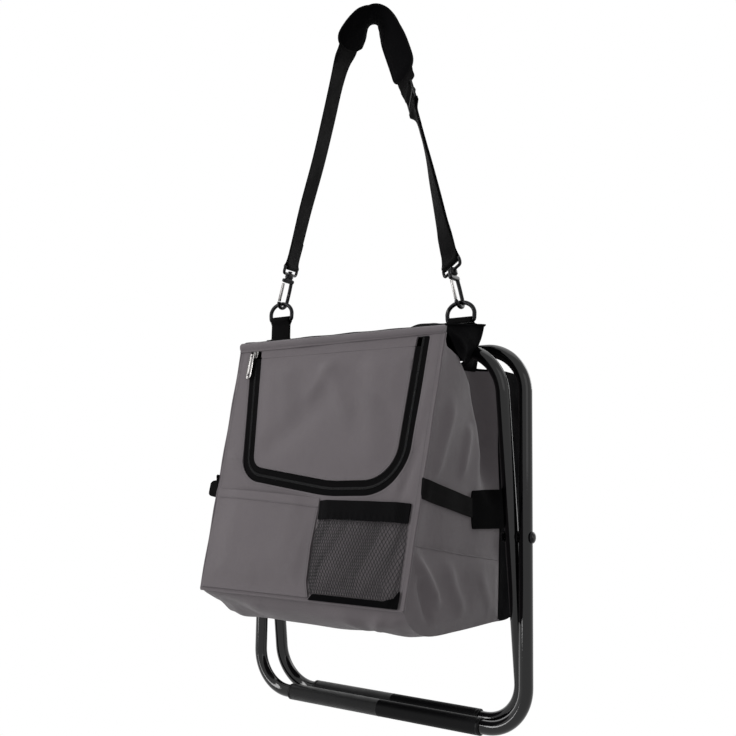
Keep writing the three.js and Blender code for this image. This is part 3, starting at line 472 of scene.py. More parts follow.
def cloth(name, outline, to3d, thick, look, step, shape=None, holes=()):
    """to3d(u, v, w) gives the place of a point of the flat pattern that stands w out of it. The shape gives
    w, as a function of u and v or as one number."""
    flat, faces = fill(outline, step, holes)
    u, v = flat[:, 0], flat[:, 1]
    w = shape(u, v) if callable(shape) else np.full(len(u), shape or 0.0)
    points, skin = thicken(to3d(u, v, w), to3d(u, v, w - thick), faces)
    return mesh_piece(name, points, skin, look, np.vstack([flat, flat]) / 1000, 50.0)


def label(obj, nodes):
    if nodes:
        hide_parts(*nodes)
    return obj


def ride(obj, body, nodes=()):
    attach(obj, body)
    return label(obj, nodes)


def crest(u, v, a, b, width, height):
    """A soft fold: a ridge from a to b that dies away at both ends."""
    a, b = np.array(a, float), np.array(b, float)
    d = b - a
    length = np.linalg.norm(d)
    t = ((u - a[0]) * d[0] + (v - a[1]) * d[1]) / length**2
    off = ((u - a[0]) * d[1] - (v - a[1]) * d[0]) / length
    ends = smooth((t + 0.15) / 0.35) * smooth((1.15 - t) / 0.35)
    return height * np.exp(-((off / width) ** 2)) * ends


def folds(u, v, rows):
    """The sum of the crests in a table. A row has both ends, the width and the height."""
    return sum(crest(u, v, row[:2], row[2:4], *row[4:]) for row in rows)


def ripple(u, v, seed, size, height, waves=9):
    """Gentle unevenness: a few sine waves in fixed random directions."""
    r = np.random.default_rng(seed)
    out = np.zeros_like(u)
    for _ in range(waves):
        a, f, p = r.uniform(0, math.pi), r.uniform(0.6, 1.6) / size, r.uniform(0, 2 * math.pi)
        out += np.sin((u * math.cos(a) + v * math.sin(a)) * 2 * math.pi * f + p)
    return out * height / waves**0.5


print("helpers ready")

# %% [markdown]
# ## The frame
# Two loops of steel tube are bent from one length each and riveted together at mid height. A section swept
# along a rounded rectangle gives a tube with even walls, and the arcs get many steps so that they shine
# smoothly.


# %% Tube loops
def loop_path(width, gap=1.97, steps=18):
    w, h = width / 2 - CORNER, LOOP_H / 2 - CORNER
    path = [(gap / 2, 0, -LOOP_H / 2)]
    for cx, cz, start in ((w, -h, -90), (w, h, 0), (-w, h, 90), (-w, -h, 180)):
        for i in range(steps + 1):
            a = math.radians(start + 90 * i / steps)
            path.append((cx + CORNER * math.cos(a), 0, cz + CORNER * math.sin(a)))
    path.append((-gap / 2, 0, -LOOP_H / 2))
    return np.array(path)


def turned(points, angle):
    p = np.asarray(points, float)
    c, s = math.cos(angle), math.sin(angle)
    return np.stack([p[:, 0], p[:, 1] * c - p[:, 2] * s, p[:, 1] * s + p[:, 2] * c], 1)


for name, width, angle in (("outer", LOOP_W, 0.0), ("inner", INNER_W, LEAN)):
    points, faces, uvs = sweep(loop_path(width), ring(TUBE_R, 32), (0, 1, 0))
    tube = mesh_piece(f"{name}_loop", turned(points, angle), faces, COAT, uvs, 40)
    ride(tube, f"{name}_frame", [f"{name}_tube"])

# %% [markdown]
# The foot sleeves are soft plastic tubes pushed over the foot bars, with a small chamfer and a moulding line.
# Anything round about an axis, such as a sleeve, a rivet or a boss, is a profile turned about that axis.


# %% Turned pieces
def turn(profile, sides=32, axis=(1, 0, 0)):
    """A closed profile of (along, radius) turned about an axis through the pivot."""
    ax = Vector(axis).normalized()
    side = ax.orthogonal().normalized()
    other = ax.cross(side)
    a = np.arange(sides) * 2 * math.pi / sides
    out = np.cos(a)[:, None] * np.array(side) + np.sin(a)[:, None] * np.array(other)
    profile = np.asarray(profile, float)
    points = (profile[None, :, :1] * np.array(ax) + profile[None, :, 1:] * out[:, None, :]).reshape(-1, 3)
    faces = [f[::-1] for f in tube_faces(sides, len(profile), True)]
    uvs = np.stack([np.repeat(a * profile[:, 1].max() / 1000, len(profile)),
                    np.tile(profile[:, 0] / 1000, sides)], 1)
    return points, faces, uvs


SLEEVE_IN, SLEEVE_OUT, CHAMFER = TUBE_R + 0.25, TUBE_R + 2.2, 0.7
for name, angle, half in (("outer", 0.0, 145.8), ("inner", LEAN, 127.7)):
    end = [(half, SLEEVE_IN), (half, SLEEVE_OUT - CHAMFER), (half - CHAMFER, SLEEVE_OUT),
           (half - 4, SLEEVE_OUT), (half - 4.4, SLEEVE_OUT - 0.3), (half - 4.8, SLEEVE_OUT),
           (0.4, SLEEVE_OUT), (0.2, SLEEVE_OUT + 0.15)]
    profile = [(-half, SLEEVE_IN)] + end + [(-x, r) for x, r in end[:0:-1]]
    points, faces, uvs = turn(profile)
    sleeve = mesh_piece(f"{name}_sleeve", turned(points + (0, 0, -RAIL_Z), angle), faces, RUBBER, uvs, 50)
    ride(sleeve, f"{name}_frame", [f"{name}_foot_sleeve"])

HEAD, SHAFT = 6.9, 2.95
for side, sign in SIDES:
    inner, outer = INNER_W / 2 - TUBE_R - 0.3, LOOP_W / 2 + TUBE_R + 0.3
    dome = [(outer + 3.28 * math.sin(a), max(HEAD * math.cos(a), 0.05))
            for a in np.linspace(0, math.pi / 2, 9)]
    profile = [(inner - 2.6, 0.05), (inner - 2.6, HEAD - 0.8), (inner - 2.0, HEAD), (inner, HEAD),
               (inner, SHAFT), (outer, SHAFT), *dome]
    points, faces, uvs = turn([(x * sign, r) for x, r in profile], 28)
    faces = faces if sign > 0 else [f[::-1] for f in faces]
    rivet = mesh_piece(f"rivet_head_{side}", points, faces, DARK_METAL, uvs, 40)
    ride(rivet, "outer_frame", [f"rivet_{side}"])
print("frame made")

# %% [markdown]
# Two cloth hems hold the seat rails. They are tubes of the seat's own cloth, pulled tight round the steel,
# so a swept ring with small wrinkles across it is enough.

# %% Rail hems
HEM_HALF, HEM_R, WRINKLE = 133.0, 9.9, 0.03
for name, body, node, y, z, seed in (
        ("rear_hem_cloth", "rear_hem", "rear_rail_hem", 0.0, RAIL_Z, 3),
        ("front_hem_cloth", "inner_frame", "front_rail_hem", -29.94, 219.97, 4)):
    xs = np.linspace(-HEM_HALF, HEM_HALF, 90)
    path = np.stack([xs, np.full_like(xs, y), np.full_like(xs, z)], 1)
    outer, faces, uvs = sweep(path, ring(HEM_R, 28), (0, 1, 0))
    centre = outer * (1, 0, 0) + (0, y, z)
    away = outer - centre
    wrinkles = ripple(outer[:, 0] * 2, np.arctan2(away[:, 1], away[:, 2]) * 9, seed, 16, WRINKLE)
    hem = mesh_piece(name, centre + away * (1 + wrinkles)[:, None], faces, BLACK, uvs, 50)
    ride(hem, body, [node])

# %% [markdown]
# ## The bag's front
# The front is a flat pattern with its own two directions: along the width and up the panel. All its pieces
# are cut in that pattern and stand a little in front of it or behind it.

# %% Front pattern
FRONT_C, FRONT_D = math.cos(PANEL_LEAN), math.sin(PANEL_LEAN)
FRONT_NORMAL = (0.0, -FRONT_C, FRONT_D)


def on_front(u, s, w):
    y, z = FRONT_BASE
    return np.stack([u, y + FRONT_D * s - FRONT_C * w, z + FRONT_C * s + FRONT_D * w], 1)


def half_at(s):
    return BASE_HALF + (TOP_HALF - BASE_HALF) * s / PANEL_H


ZIP = np.array([(-1, 0.0811, 1), (-1, 0.1425, 0.4562), (1, 0.3992, 0.4), (1, 0.0951, 0.411), (1, 0.0874, 1)])
ZIP = np.stack([ZIP[:, 0] * (half_at(ZIP[:, 2] * PANEL_H) - ZIP[:, 1] * PANEL_H), ZIP[:, 2] * PANEL_H], 1)
ZIP_CORNERS = (0.085 * PANEL_H, 0.6 * PANEL_H, 0.163 * PANEL_H)
HINGE, ZIP_TOP = 0.93 * PANEL_H, 0.966 * PANEL_H
TAPE_HALF = 0.0285 * PANEL_H
TUCK = 0.3


def meet(a, b):
    """Where two lines cross, each given by a point and a direction."""
    (p, d), (q, e) = a, b
    k = ((q[0] - p[0]) * e[1] - (q[1] - p[1]) * e[0]) / (d[0] * e[1] - d[1] * e[0])
    return p + d * k


def zip_line(offset, top, arc=18, straight=40):
    """The zip's U at an offset, always with the same number of points."""
    lines = []
    for a, b in zip(ZIP, ZIP[1:]):
        d = unit(b - a)
        lines.append((a + np.array([d[1], -d[0]]) * offset, d))
    level = (np.array([0, top]), np.array([1.0, 0]))
    parts = [[meet(lines[0], level)]]
    for before, after, radius in zip(lines, lines[1:], ZIP_CORNERS):
        r, bend = radius + offset, math.acos(float(before[1] @ after[1]))
        start = meet(before, after) - before[1] * r * math.tan(bend / 2)
        centre = start + np.array([-before[1][1], before[1][0]]) * r
        a0 = math.atan2(*(start - centre)[::-1])
        parts.append([centre + r * np.array([math.cos(a), math.sin(a)])
                      for a in np.linspace(a0, a0 + bend, arc + 1)])
    parts.append([meet(lines[-1], level)])
    out = [parts[0][0]]
    for p in parts[1:]:
        out += [out[-1] + (p[0] - out[-1]) * t for t in np.linspace(0, 1, straight)[1:-1]]
        out += list(p)
    return np.array(out)


front_outline = np.array([(-half_at(0), 0), (half_at(0), 0), (half_at(PANEL_H), PANEL_H),
                          (-half_at(PANEL_H), PANEL_H)])
to_top, to_hinge = zip_line(-TAPE_HALF, ZIP_TOP), zip_line(-TAPE_HALF, HINGE)
hole = np.vstack([zip_line(TAPE_HALF, ZIP_TOP), to_top[-1:], to_hinge[-1:], to_hinge[:1], to_top[:1]])
FRONT_FOLDS = [(-150, 168, -96, 150, 7, 2.2), (150, 262, 118, 130, 7, 3.4), (146, 190, 124, 118, 5, -3.0),
               (-60, 130, 30, 118, 9, 1.0)]
FLAP_FOLDS = [(-12, 292, 42, 205, 12, 3.4), (15, 255, -90, 165, 18, -3.6), (62, 290, 80, 170, 16, 2.6),
              (-70, 285, -55, 200, 15, 2.2), (6, 290, -30, 235, 9, 2.4), (20, 285, 104, 215, 10, -1.8)]


def front_relief(u, v):
    """Soft folds of the front cloth, dying away at the panel's own edges."""
    p = np.stack([u, v], 1)
    calm = smooth(edge_distance(p, front_outline) / 22) * (0.35 + 0.65 * smooth(edge_distance(p, hole) / 9))
    return (ripple(u, v, 11, 130, 0.9) + folds(u, v, FRONT_FOLDS)) * calm


def flap_relief(u, v):
    calm = smooth(edge_distance(np.stack([u, v], 1), to_hinge) / 26)
    return (2.0 + ripple(u, v, 5, 120, 0.8) + folds(u, v, FLAP_FOLDS)) * calm


FRONT_THICK = 2.6
panel = cloth("front_cloth", front_outline, on_front, FRONT_THICK, GREY, 4.0, front_relief, [hole])
ride(panel, "bag_front", ["front_panel"])
flap = cloth("flap_cloth", zip_line(-TAPE_HALF - TUCK, HINGE - TUCK), on_front, FRONT_THICK, GREY, 3.6,
             flap_relief)
ride(flap, "flap", ["flap"])
print("front panel and flap", len(panel.data.polygons), len(flap.data.polygons))

# %% [markdown]
# ### The zip
# A coil zip has two woven tapes and a nylon coil that shows as a row of fine cross bars. The tapes follow
# the U as bands of quads. The coil repeats one bar along the line, so Geometry Nodes place the bars.

# %% Zip tapes
TAPE_COLUMNS, TAPE_THICK, TAPE_SINK, COIL_HALF = 5, 0.9, -0.9, 1.6


def band(name, far, near, top):
    offsets = np.linspace(far, near, TAPE_COLUMNS)
    rows = [zip_line(o, top) for o in offsets]
    n = len(rows[0])
    flat = np.concatenate(rows)
    faces = []
    for i in range(TAPE_COLUMNS - 1):
        for j in range(n - 1):
            a, b, c, d = i * n + j, i * n + j + 1, (i + 1) * n + j + 1, (i + 1) * n + j
            faces += [(a, b, c), (a, c, d)]
    points, skin = thicken(on_front(flat[:, 0], flat[:, 1], TAPE_SINK),
                           on_front(flat[:, 0], flat[:, 1], TAPE_SINK - TAPE_THICK), faces)
    uv = np.stack([np.repeat(offsets / 1000, n), np.tile(run_of(rows[0]) / 1000, TAPE_COLUMNS)], 1)
    return mesh_piece(name, points, skin, TAPE, np.vstack([uv, uv]), 50)


outer_tape = band("outer_tape", TAPE_HALF - TUCK, COIL_HALF, ZIP_TOP - TUCK)
ride(outer_tape, "bag_front", ["zip_tape_outer"])
inner_tape = band("inner_tape", -COIL_HALF, TUCK - TAPE_HALF, HINGE - TUCK)
ride(inner_tape, "flap", ["zip_tape_inner"])

# %% [markdown]
# The row of bars, the rows of stitches and the net use trees of one kind: the edges of a mesh become curves,
# something is made along them, and it gets its finish. For a row the curve is cut at even steps, and a small
# cylinder is set on each point, turned along the path or across it.


# %% Trees along a path
def path_tree(name, inputs, build):
    tree = bpy.data.node_groups.new(name, "GeometryNodeTree")
    kinds = {"Path": "Geometry", "Up": "Vector", "Finish": "Material"}
    for socket in ("Path", *inputs, "Finish"):
        kind = "NodeSocket" + kinds.get(socket, "Float")
        tree.interface.new_socket(socket, in_out="INPUT", socket_type=kind)
    tree.interface.new_socket("Made", in_out="OUTPUT", socket_type="NodeSocketGeometry")
    new, link = tree.nodes.new, tree.links.new
    source, sink, curve = new("NodeGroupInput"), new("NodeGroupOutput"), new("GeometryNodeMeshToCurve")
    realize, paint = new("GeometryNodeRealizeInstances"), new("GeometryNodeSetMaterial")
    link(source.outputs["Path"], curve.inputs[0])
    link(build(new, link, source.outputs, curve.outputs[0]), realize.inputs[0])
    link(realize.outputs[0], paint.inputs["Geometry"])
    link(source.outputs["Finish"], paint.inputs["Material"])
    link(paint.outputs[0], sink.inputs["Made"])
    return tree


def rods(across):
    def build(new, link, given, curve):
        cut, rod, set_on = (new(kind) for kind in ("GeometryNodeResampleCurve", "GeometryNodeMeshCylinder",
                                                   "GeometryNodeInstanceOnPoints"))
        cut.mode = "LENGTH"
        rod.inputs["Vertices"].default_value = 6
        tangent = new("GeometryNodeInputTangent")
        along, upright = new("FunctionNodeAlignRotationToVector"), new("FunctionNodeAlignRotationToVector")
        along.axis, upright.axis = "Z", "Y"
        upright.pivot_axis = "Z"
        link(curve, cut.inputs["Curve"])
        link(given["Pitch"], cut.inputs["Length"])
        link(given["Radius"], rod.inputs["Radius"])
        link(given["Length"], rod.inputs["Depth"])
        link(cut.outputs[0], set_on.inputs["Points"])
        shape = rod.outputs["Mesh"]
        if across:
            lay = new("GeometryNodeTransform")
            lay.inputs["Rotation"].default_value = (0, math.pi / 2, 0)
            link(shape, lay.inputs["Geometry"])
            shape = lay.outputs["Geometry"]
        link(shape, set_on.inputs["Instance"])
        link(tangent.outputs[0], along.inputs["Vector"])
        link(along.outputs[0], upright.inputs["Rotation"])
        link(given["Up"], upright.inputs["Vector"])
        link(upright.outputs[0], set_on.inputs["Rotation"])
        return set_on.outputs[0]
    return build


def yarns(new, link, given, curve):
    circle, skin = new("GeometryNodeCurvePrimitiveCircle"), new("GeometryNodeCurveToMesh")
    circle.inputs["Resolution"].default_value = 5
    link(given["Radius"], circle.inputs["Radius"])
    link(curve, skin.inputs["Curve"])
    link(circle.outputs[0], skin.inputs["Profile Curve"])
    return skin.outputs[0]


ROD_INPUTS = ("Pitch", "Length", "Radius", "Up")
STITCH_ROW = path_tree("stitch row", ROD_INPUTS, rods(False))
BAR_ROW = path_tree("cross bars", ROD_INPUTS, rods(True))
NET_YARNS = path_tree("net yarns", ("Radius",), yarns)


def grow(name, tree, points, edges, look, **values):
    """Runs a tree along a path and returns what it makes as one plain mesh object. Sizes are in mm."""
    me = bpy.data.meshes.new(name + "_path")
    me.from_pydata([tuple(p) for p in place(points)], edges, [])
    carrier = add_object(name + "_path", me)
    mod = carrier.modifiers.new("grow", "NODES")
    mod.node_group = tree
    sockets = {i.name: i.identifier for i in tree.interface.items_tree if i.in_out == "INPUT"}
    for socket, value in values.items():
        mod[sockets[socket]] = tuple(float(x) for x in value) if socket == "Up" else value / 1000
    mod[sockets["Finish"]] = look.mat
    carrier.update_tag()
    mesh = baked(carrier)
    bpy.data.objects.remove(carrier)
    mesh.name = name
    return add_object(name, mesh)


def row(name, tree, path, look, **values):
    return grow(name, tree, path, [(i, i + 1) for i in range(len(path) - 1)], look, Up=FRONT_NORMAL, **values)


coil_path = zip_line(0, ZIP_TOP - 0.6)
coil = row("coil_bars", BAR_ROW, on_front(coil_path[:, 0], coil_path[:, 1], -0.95), PLASTIC,
           Pitch=1.25, Length=2.9, Radius=0.48)
ride(coil, "bag_front", ["zip_coil"])
print("coil bars", len(coil.data.polygons))


STITCH, THREAD_R = 3.4, 0.22


def stitches(name, body, path):
    made = row(name, STITCH_ROW, path, THREAD, Pitch=STITCH, Length=STITCH * 0.62, Radius=THREAD_R)
    return ride(made, body)


def front_path(points, lift, relief):
    flat = resample(points, 3.0)
    return on_front(flat[:, 0], flat[:, 1], relief(flat[:, 0], flat[:, 1]) + lift)


STITCH_IN = 2.2
for name, offset, body, relief, top in (("outer", TAPE_HALF + STITCH_IN, "bag_front", front_relief, ZIP_TOP),
                                        ("inner", -TAPE_HALF - STITCH_IN, "flap", flap_relief, HINGE)):
    stitches(f"zip_stitches_{name}", body, front_path(zip_line(offset, top - 1), 0.12, relief))

# %% [markdown]
# The slider is a nickel-plated casting: a plate with two shoulders, a bridge over it and a flat pull with
# two holes. Outlines with holes are filled and thickened, and the pull gets a raised rim.

# %% Slider and pull
leg = unit(ZIP[1] - ZIP[0])
SLIDER_S = HINGE + 0.9 + 0.015 * PANEL_H
slider_at = ZIP[0] + leg * (SLIDER_S - ZIP[0][1]) / leg[1]
slider_side = np.array([-leg[1], leg[0]])


def on_slider(a, b, w):
    """a runs across the slider, b down along the zip."""
    flat = slider_at + np.outer(a, slider_side) + np.outer(b, leg)
    return on_front(flat[:, 0], flat[:, 1], w)


def mirrored(half):
    """A symmetric outline from its right half, given from the top down."""
    return np.array([(-half[0][0], half[0][1])] + half + [(-x, y) for x, y in half[:0:-1]])


shoulders = mirrored([(2.2, 5.2), (3.0, 2.0), (4.4, -2.6), (4.4, -4.6), (3.0, -5.4), (1.0, -4.4)])
slider = cloth("slider_plate", shoulders, on_slider, 1.2, NICKEL, 1.2, 1.0)
bridge_b = np.linspace(-4.0, 4.4, 15)
arch = on_slider(np.zeros(15), bridge_b, 0.9 + 1.75 * np.sin(np.linspace(0, math.pi, 15)) ** 0.6)
points, faces, uvs = sweep(arch, ring(0.8, 10, 0.45), (slider_side[0], 0, slider_side[1]))
bridge = mesh_piece("slider_bridge", points, faces, NICKEL, uvs)
ride(slider, "zip_slider", ["zip_slider"])
ride(bridge, "zip_slider", ())

PULL_L, PULL_W, PULL_LIFT = 0.105 * PANEL_H, 8.4, 2.9
pull_x = slider_at[0] - 3.8
e = PULL_W * 0.36
outline = mirrored([(e, 0), (e + 0.6, -2), (e + 0.4, -PULL_L * 0.3), (PULL_W / 2, -PULL_L * 0.42),
                    (PULL_W / 2, -PULL_L + e), (PULL_W / 2 - 0.8, -PULL_L + 1.0), (e - 0.6, -PULL_L)])
pull_holes = [ring(1.3, 20) + (0, -3.2), ring(1.9, 24, 2.4) + (0, -PULL_L + 4.9)]
pull = cloth("pull_plate", outline, lambda u, s, w: on_front(u + pull_x, s + SLIDER_S, w + PULL_LIFT), 1.1,
             NICKEL, 0.8, lambda u, v: 1.1 + 0.25 * np.exp(-((np.abs(u) - 2.6) / 0.7) ** 2), pull_holes)
ride(pull, "zip_pull", ["zip_pull"])
print("zip made")

# %% [markdown]
# ### Pockets
# The left pocket is a flat patch sewn on three sides, with a turned hem along its open top. It bellies out a
# little. The right pocket is a net on a gathered elastic band, so its strands are laid out as a lattice of
# edges on the same relief, and Geometry Nodes give each edge the thickness of yarn.

# %% Front pocket
pocket_outline = np.array([(-147.3, 3), (21, 3), (15.2, 20), (13.6, 60), (16.6, 114.8), (-147.3, 123.6)])
POCKET_FOLDS = [(-120, 30, -60, 18, 9, 1.4), (8, 96, -6, 30, 7, 0.9)]


def pocket_relief(u, v):
    d = edge_distance(np.stack([u, v], 1), np.roll(pocket_outline, 1, 0), closed=False)
    uneven = ripple(u, v, 21, 110, 0.7) * smooth(d / 25)
    return 2.0 + 4.6 * smooth(d / 42) + uneven + folds(u, v, POCKET_FOLDS)


pocket = cloth("pocket_cloth", pocket_outline, on_front, 1.3, GREY, 3.6, pocket_relief)
ride(pocket, "bag_front", ["front_pocket"])
top_line = np.array([(-146.8, 123.6), (16.4, 114.8)])
hem_band = np.vstack([top_line - (0, 10), top_line[::-1] + (0, 0.4)])
hem = cloth("pocket_hem", hem_band, on_front, 1.0, GREY, 3.0, lambda u, v: pocket_relief(u, v) + 0.9)
ride(hem, "bag_front", ())
stitches("pocket_hem_stitches", "bag_front", front_path(top_line - (0, 8.8), 1.05, pocket_relief))
stitches("pocket_side_stitches", "bag_front",
         front_path([(14.2, 112), (11.4, 60), (13.2, 20), (18, 6)], 0.15, pocket_relief))

# %% Net pocket
net_outline = np.array([(23.5, 5), (140.5, 5), (141.5, 92), (18.2, 92), (15.6, 60), (17.2, 22)])
NET_FOLDS = [(80, 102, 31, 20, 8, 4.2), (126, 98, 84, 12, 7, 4.6), (104, 96, 60, 14, 6, -2.4),
             (138, 70, 122, 10, 5, 3.0), (52, 96, 22, 50, 7, 2.0)]
MESH_U, MESH_V, NET_ROWS, NET_COLUMNS = 3.5, 3.9 * 0.94, 26, 38


def net_relief(u, v):
    d = edge_distance(np.stack([u, v], 1), np.roll(net_outline, 3, 0), closed=False)
    w = 2.2 + 6.4 * smooth(d / 30) + folds(u, v, NET_FOLDS)
    return np.maximum(w * smooth(d / 6 + 0.25), 0.8)


knots = np.array([(16 + (i + 0.5 * (j % 2)) * MESH_U, 3 + j * MESH_V)
                  for j in range(NET_ROWS) for i in range(NET_COLUMNS)])
edges = [(j * NET_COLUMNS + i, (j + 1) * NET_COLUMNS + i + step)
         for j in range(NET_ROWS - 1) for i in range(NET_COLUMNS)
         for step in ((0, 1) if j % 2 else (-1, 0)) if 0 <= i + step < NET_COLUMNS]
knots[:, 0] += 0.5 * np.sin(knots[:, 0] * 0.7) * smooth((knots[:, 1] - 60) / 32)
ok = inside(knots, net_outline + np.sign(net_outline - (80, 48)) * 1.5)
edges = [e for e in edges if ok[e[0]] and ok[e[1]]]
knots_at = on_front(knots[:, 0], knots[:, 1], net_relief(knots[:, 0], knots[:, 1]))
net = grow("net_yarns", NET_YARNS, knots_at, edges, NET, Radius=0.36)
ride(net, "bag_front", ["mesh_net", "mesh_side_left", "mesh_side_right"])
print("net faces", len(net.data.polygons))


def binding_relief(u, v):
    d = smooth(np.minimum(u - 17, 142 - u) / 16)
    return 2.4 + 5.4 * d + 0.55 * np.sin(u * 0.75) * smooth((105 - v) / 12) * d + ripple(u, v, 8, 40, 0.5) * d


binding = cloth("elastic_band", np.array([(18, 91), (141.8, 91), (142.6, 113), (17.4, 113)]), on_front, 2.2,
                ELASTIC, 2.4, binding_relief)
ride(binding, "bag_front", ["mesh_binding"])
edging_outline = np.array([(22, 0.6), (142.5, 0.6), (143.5, 20), (137, 11), (124, 7.5), (27, 7.5)])
edging = cloth("net_edging", edging_outline, on_front, 1.4, BLACK, 2.4,
               lambda u, v: 2.6 + crest(u, v, (140, 22), (128, 4), 4, 2.2))
ride(edging, "bag_front", ["mesh_edging"])
print("pockets made")

# %% [markdown]
# ### Hem and seams of the front
# The front's top edge is turned over into a thick hem that sags a little at the left corner. The other edges
# end in narrow welts, where the panels are sewn together, so a thin bead of the same cloth follows them.


# %% Hem and seams
def hem_relief(u, v):
    t = np.clip((v - (PANEL_H - 9.4)) / 9.8, 0, 1)
    return 0.6 + 3.6 * np.sin(math.pi * np.clip(t, 0.02, 0.98)) ** 0.5 + ripple(u, v, 31, 60, 0.35)


top_half = half_at(PANEL_H)
hem_outline = np.array([(-top_half - 0.5, PANEL_H - 12.4), (top_half + 0.5, PANEL_H - 9.4),
                        (top_half + 0.5, PANEL_H + 0.4), (-top_half - 0.5, PANEL_H + 0.4)])
top_hem = cloth("top_hem_cloth", hem_outline, on_front, 3.4, GREY, 2.4, hem_relief)
ride(top_hem, "bag_front", ["top_hem"])
stitches("top_hem_stitches", "bag_front",
         front_path([(-top_half, PANEL_H - 8.6), (top_half, PANEL_H - 7.8)], 0.15, hem_relief))


def bead(name, path, body, look=GREY, hint=(1, 0, 0)):
    points, faces, uvs = sweep(resample(path, 4.0), ring(1.5, 10), hint)
    return ride(mesh_piece(name, points, faces, look, uvs, 60), body, ())


for side, s in SIDES:
    v = np.linspace(0, PANEL_H - 8, 60)
    u = s * (half_at(v) + 0.3)
    bead(f"front_seam_{side}", on_front(u, v, -0.9 + 0.4 * np.sin(v * 0.09 + s)), "bag_front")
    inset = u - s * 4.6
    stitches(f"front_seam_stitches_{side}", "bag_front", on_front(inset, v, front_relief(inset, v) + 0.12))
loop_outline = np.array([(-153, 113), (-165, 115), (-167.5, 118), (-167.5, 131), (-165, 134), (-153, 136)])
ride(cloth("webbing_end", loop_outline, on_front, 3.4, WEBBING, 2.6, -0.6), "bag_front", ())
low_edge = np.linspace(-149, 149, 80)
bead("front_seam_low", on_front(low_edge, np.full(80, -0.3), -0.8), "bag_front", hint=(0, 1, 0))

# %% [markdown]
# ## The bag's body
# The side cloth is pushed inward behind the front, where the frame folds flat against it. That fold is the
# darkest place in the photograph. It is written as a depth that grows upward and behind a slanted crease,
# and every sheet of the side, with the lining and the end cloth above it, uses the same depth.


# %% Side pattern
def half_width(z):
    k = (np.asarray(z, float) - FRONT_BASE[1]) / (FRONT_TOP[1] - FRONT_BASE[1])
    return BASE_HALF + (TOP_HALF - BASE_HALF) * k


CREASE = np.array([(-110, 70), (10, 20), (35, -8), (54, -20), (93, -18), (129, -25), (177, -45), (207, -72),
                   (217, -99), (245, -106)], float)


def infold(y, z):
    start = np.interp(z, CREASE[:, 0], CREASE[:, 1])
    depth = 31 * smooth((z - 20) / 100)
    return depth * smooth((y - start + 6) / 40) * smooth((46 - y) / 46)


def front_y(z):
    return FRONT_TOP[0] + (z - FRONT_TOP[1]) * math.tan(PANEL_LEAN)


def rear_y(z):
    return REAR_TOP[0] + (z - REAR_TOP[1]) * (REAR_BASE[0] - REAR_TOP[0]) / (REAR_BASE[1] - REAR_TOP[1])


def on_side(s, lift=0.0):
    def to3d(y, z, w):
        return np.stack([s * (half_width(z) - infold(y, z) + w + lift), y, z], 1)
    return to3d


base_path = spline([(FRONT_BASE[0] + 1.5, FRONT_BASE[1]), (-164, -86), (-148, -97), (-124, BASE_Z),
                    (-60, BASE_Z - 1.5), (20, BASE_Z - 0.5), (62, BASE_Z), (84, -96),
                    (REAR_BASE[0] - 1.0, REAR_BASE[1])], 60)
split_at = int(np.argmin(abs(base_path[:, 0] - SPLIT_Y)))
grey_outline = np.vstack([base_path[: split_at + 1],
                          [(SPLIT_Y, 200), (-62, 200), (-77, 208), (front_y(233) + 1.5, 233)]])
black_outline = np.vstack([base_path[split_at:], [(rear_y(200) - 1.0, 200), (SPLIT_Y, 200)]])
SEAM = np.array([(-157, -5), (-110, -12), (-50, -21), (28, -31)], float)
SIDE_FOLDS = [(-158, -12, -112, -70, 7, 6.4), (-150, -40, -128, -88, 6, -4.6), (-96, -30, -60, -84, 10, 4.2),
              (-20, -44, 10, -90, 10, 2.0), (-150, 30, -120, 190, 12, 4.4), (-120, 70, -84, 150, 9, 4.8),
              (-60, 70, -44, 128, 7, 3.6)]


def side_relief(y, z):
    p = np.stack([y, z], 1)
    calm = smooth(edge_distance(p, grey_outline) / 20)
    seam = 1.1 * np.exp(-(edge_distance(p, SEAM, closed=False) / 1.6) ** 2)
    sag = 4.5 * smooth((-12 - z) / 30)
    return (ripple(y, z, 41, 120, 1.1) + sag + folds(y, z, SIDE_FOLDS)) * calm - seam


def rear_relief(y, z):
    calm = smooth(edge_distance(np.stack([y, z], 1), black_outline) / 16)
    return (ripple(y, z, 51, 60, 1.6) + crest(y, z, (44, 180), (60, 20), 8, 3.0)) * calm


def ends_at(a, b):
    return tuple(place(a)), tuple(place(b))


BLEND = ends_at(*(on_front(np.zeros(1), np.full(1, 160.0), w)[0] for w in (-85.0, -2.0)))


def blend(obj, nodes=()):
    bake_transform(obj)
    return label(obj, nodes)


def tuck(obj):
    """The bag's lower front corner is drawn up on the left."""
    p = np.array([v.co for v in obj.data.vertices]) * 1000 + HANG
    x, y, z = p.T
    p[:, 2] += 11 * smooth((-50 - x) / 80) * smooth((-116 - y) / 26) * smooth((-66 - z) / 30)
    obj.data.vertices.foreach_set("co", place(p).ravel())
    return obj


def cord(name, path, radius, hint, look):
    points, faces, uvs = sweep(path, ring(radius, 8), hint)
    return mesh_piece(name, points, faces, look, uvs, 60)


for side, s in SIDES:
    to_side = on_side(s)
    grey = cloth(f"side_cloth_{side}", grey_outline, to_side, 2.2, GREY, 4.0, side_relief)
    blend(tuck(grey), [f"side_panel_{side}"])
    black = cloth(f"rear_side_cloth_{side}", black_outline, to_side, 2.0, BLACK, 4.0, rear_relief)
    ride(black, "bag", [f"rear_gusset_{side}"])
    y, z = resample(SEAM, 4).T
    seam = to_side(y, z, side_relief(y, z) + 0.5)
    blend(cord(f"side_seam_{side}", seam, 0.8, (s, 0, 0), GREY), ())
    rim = to_side(np.full(60, SPLIT_Y), np.linspace(BASE_Z + 2, 198, 60), 0.2)
    ride(cord(f"split_seam_{side}", rim, 1.1, (s, 0, 0), BLACK), "bag", ())
print("sides made")

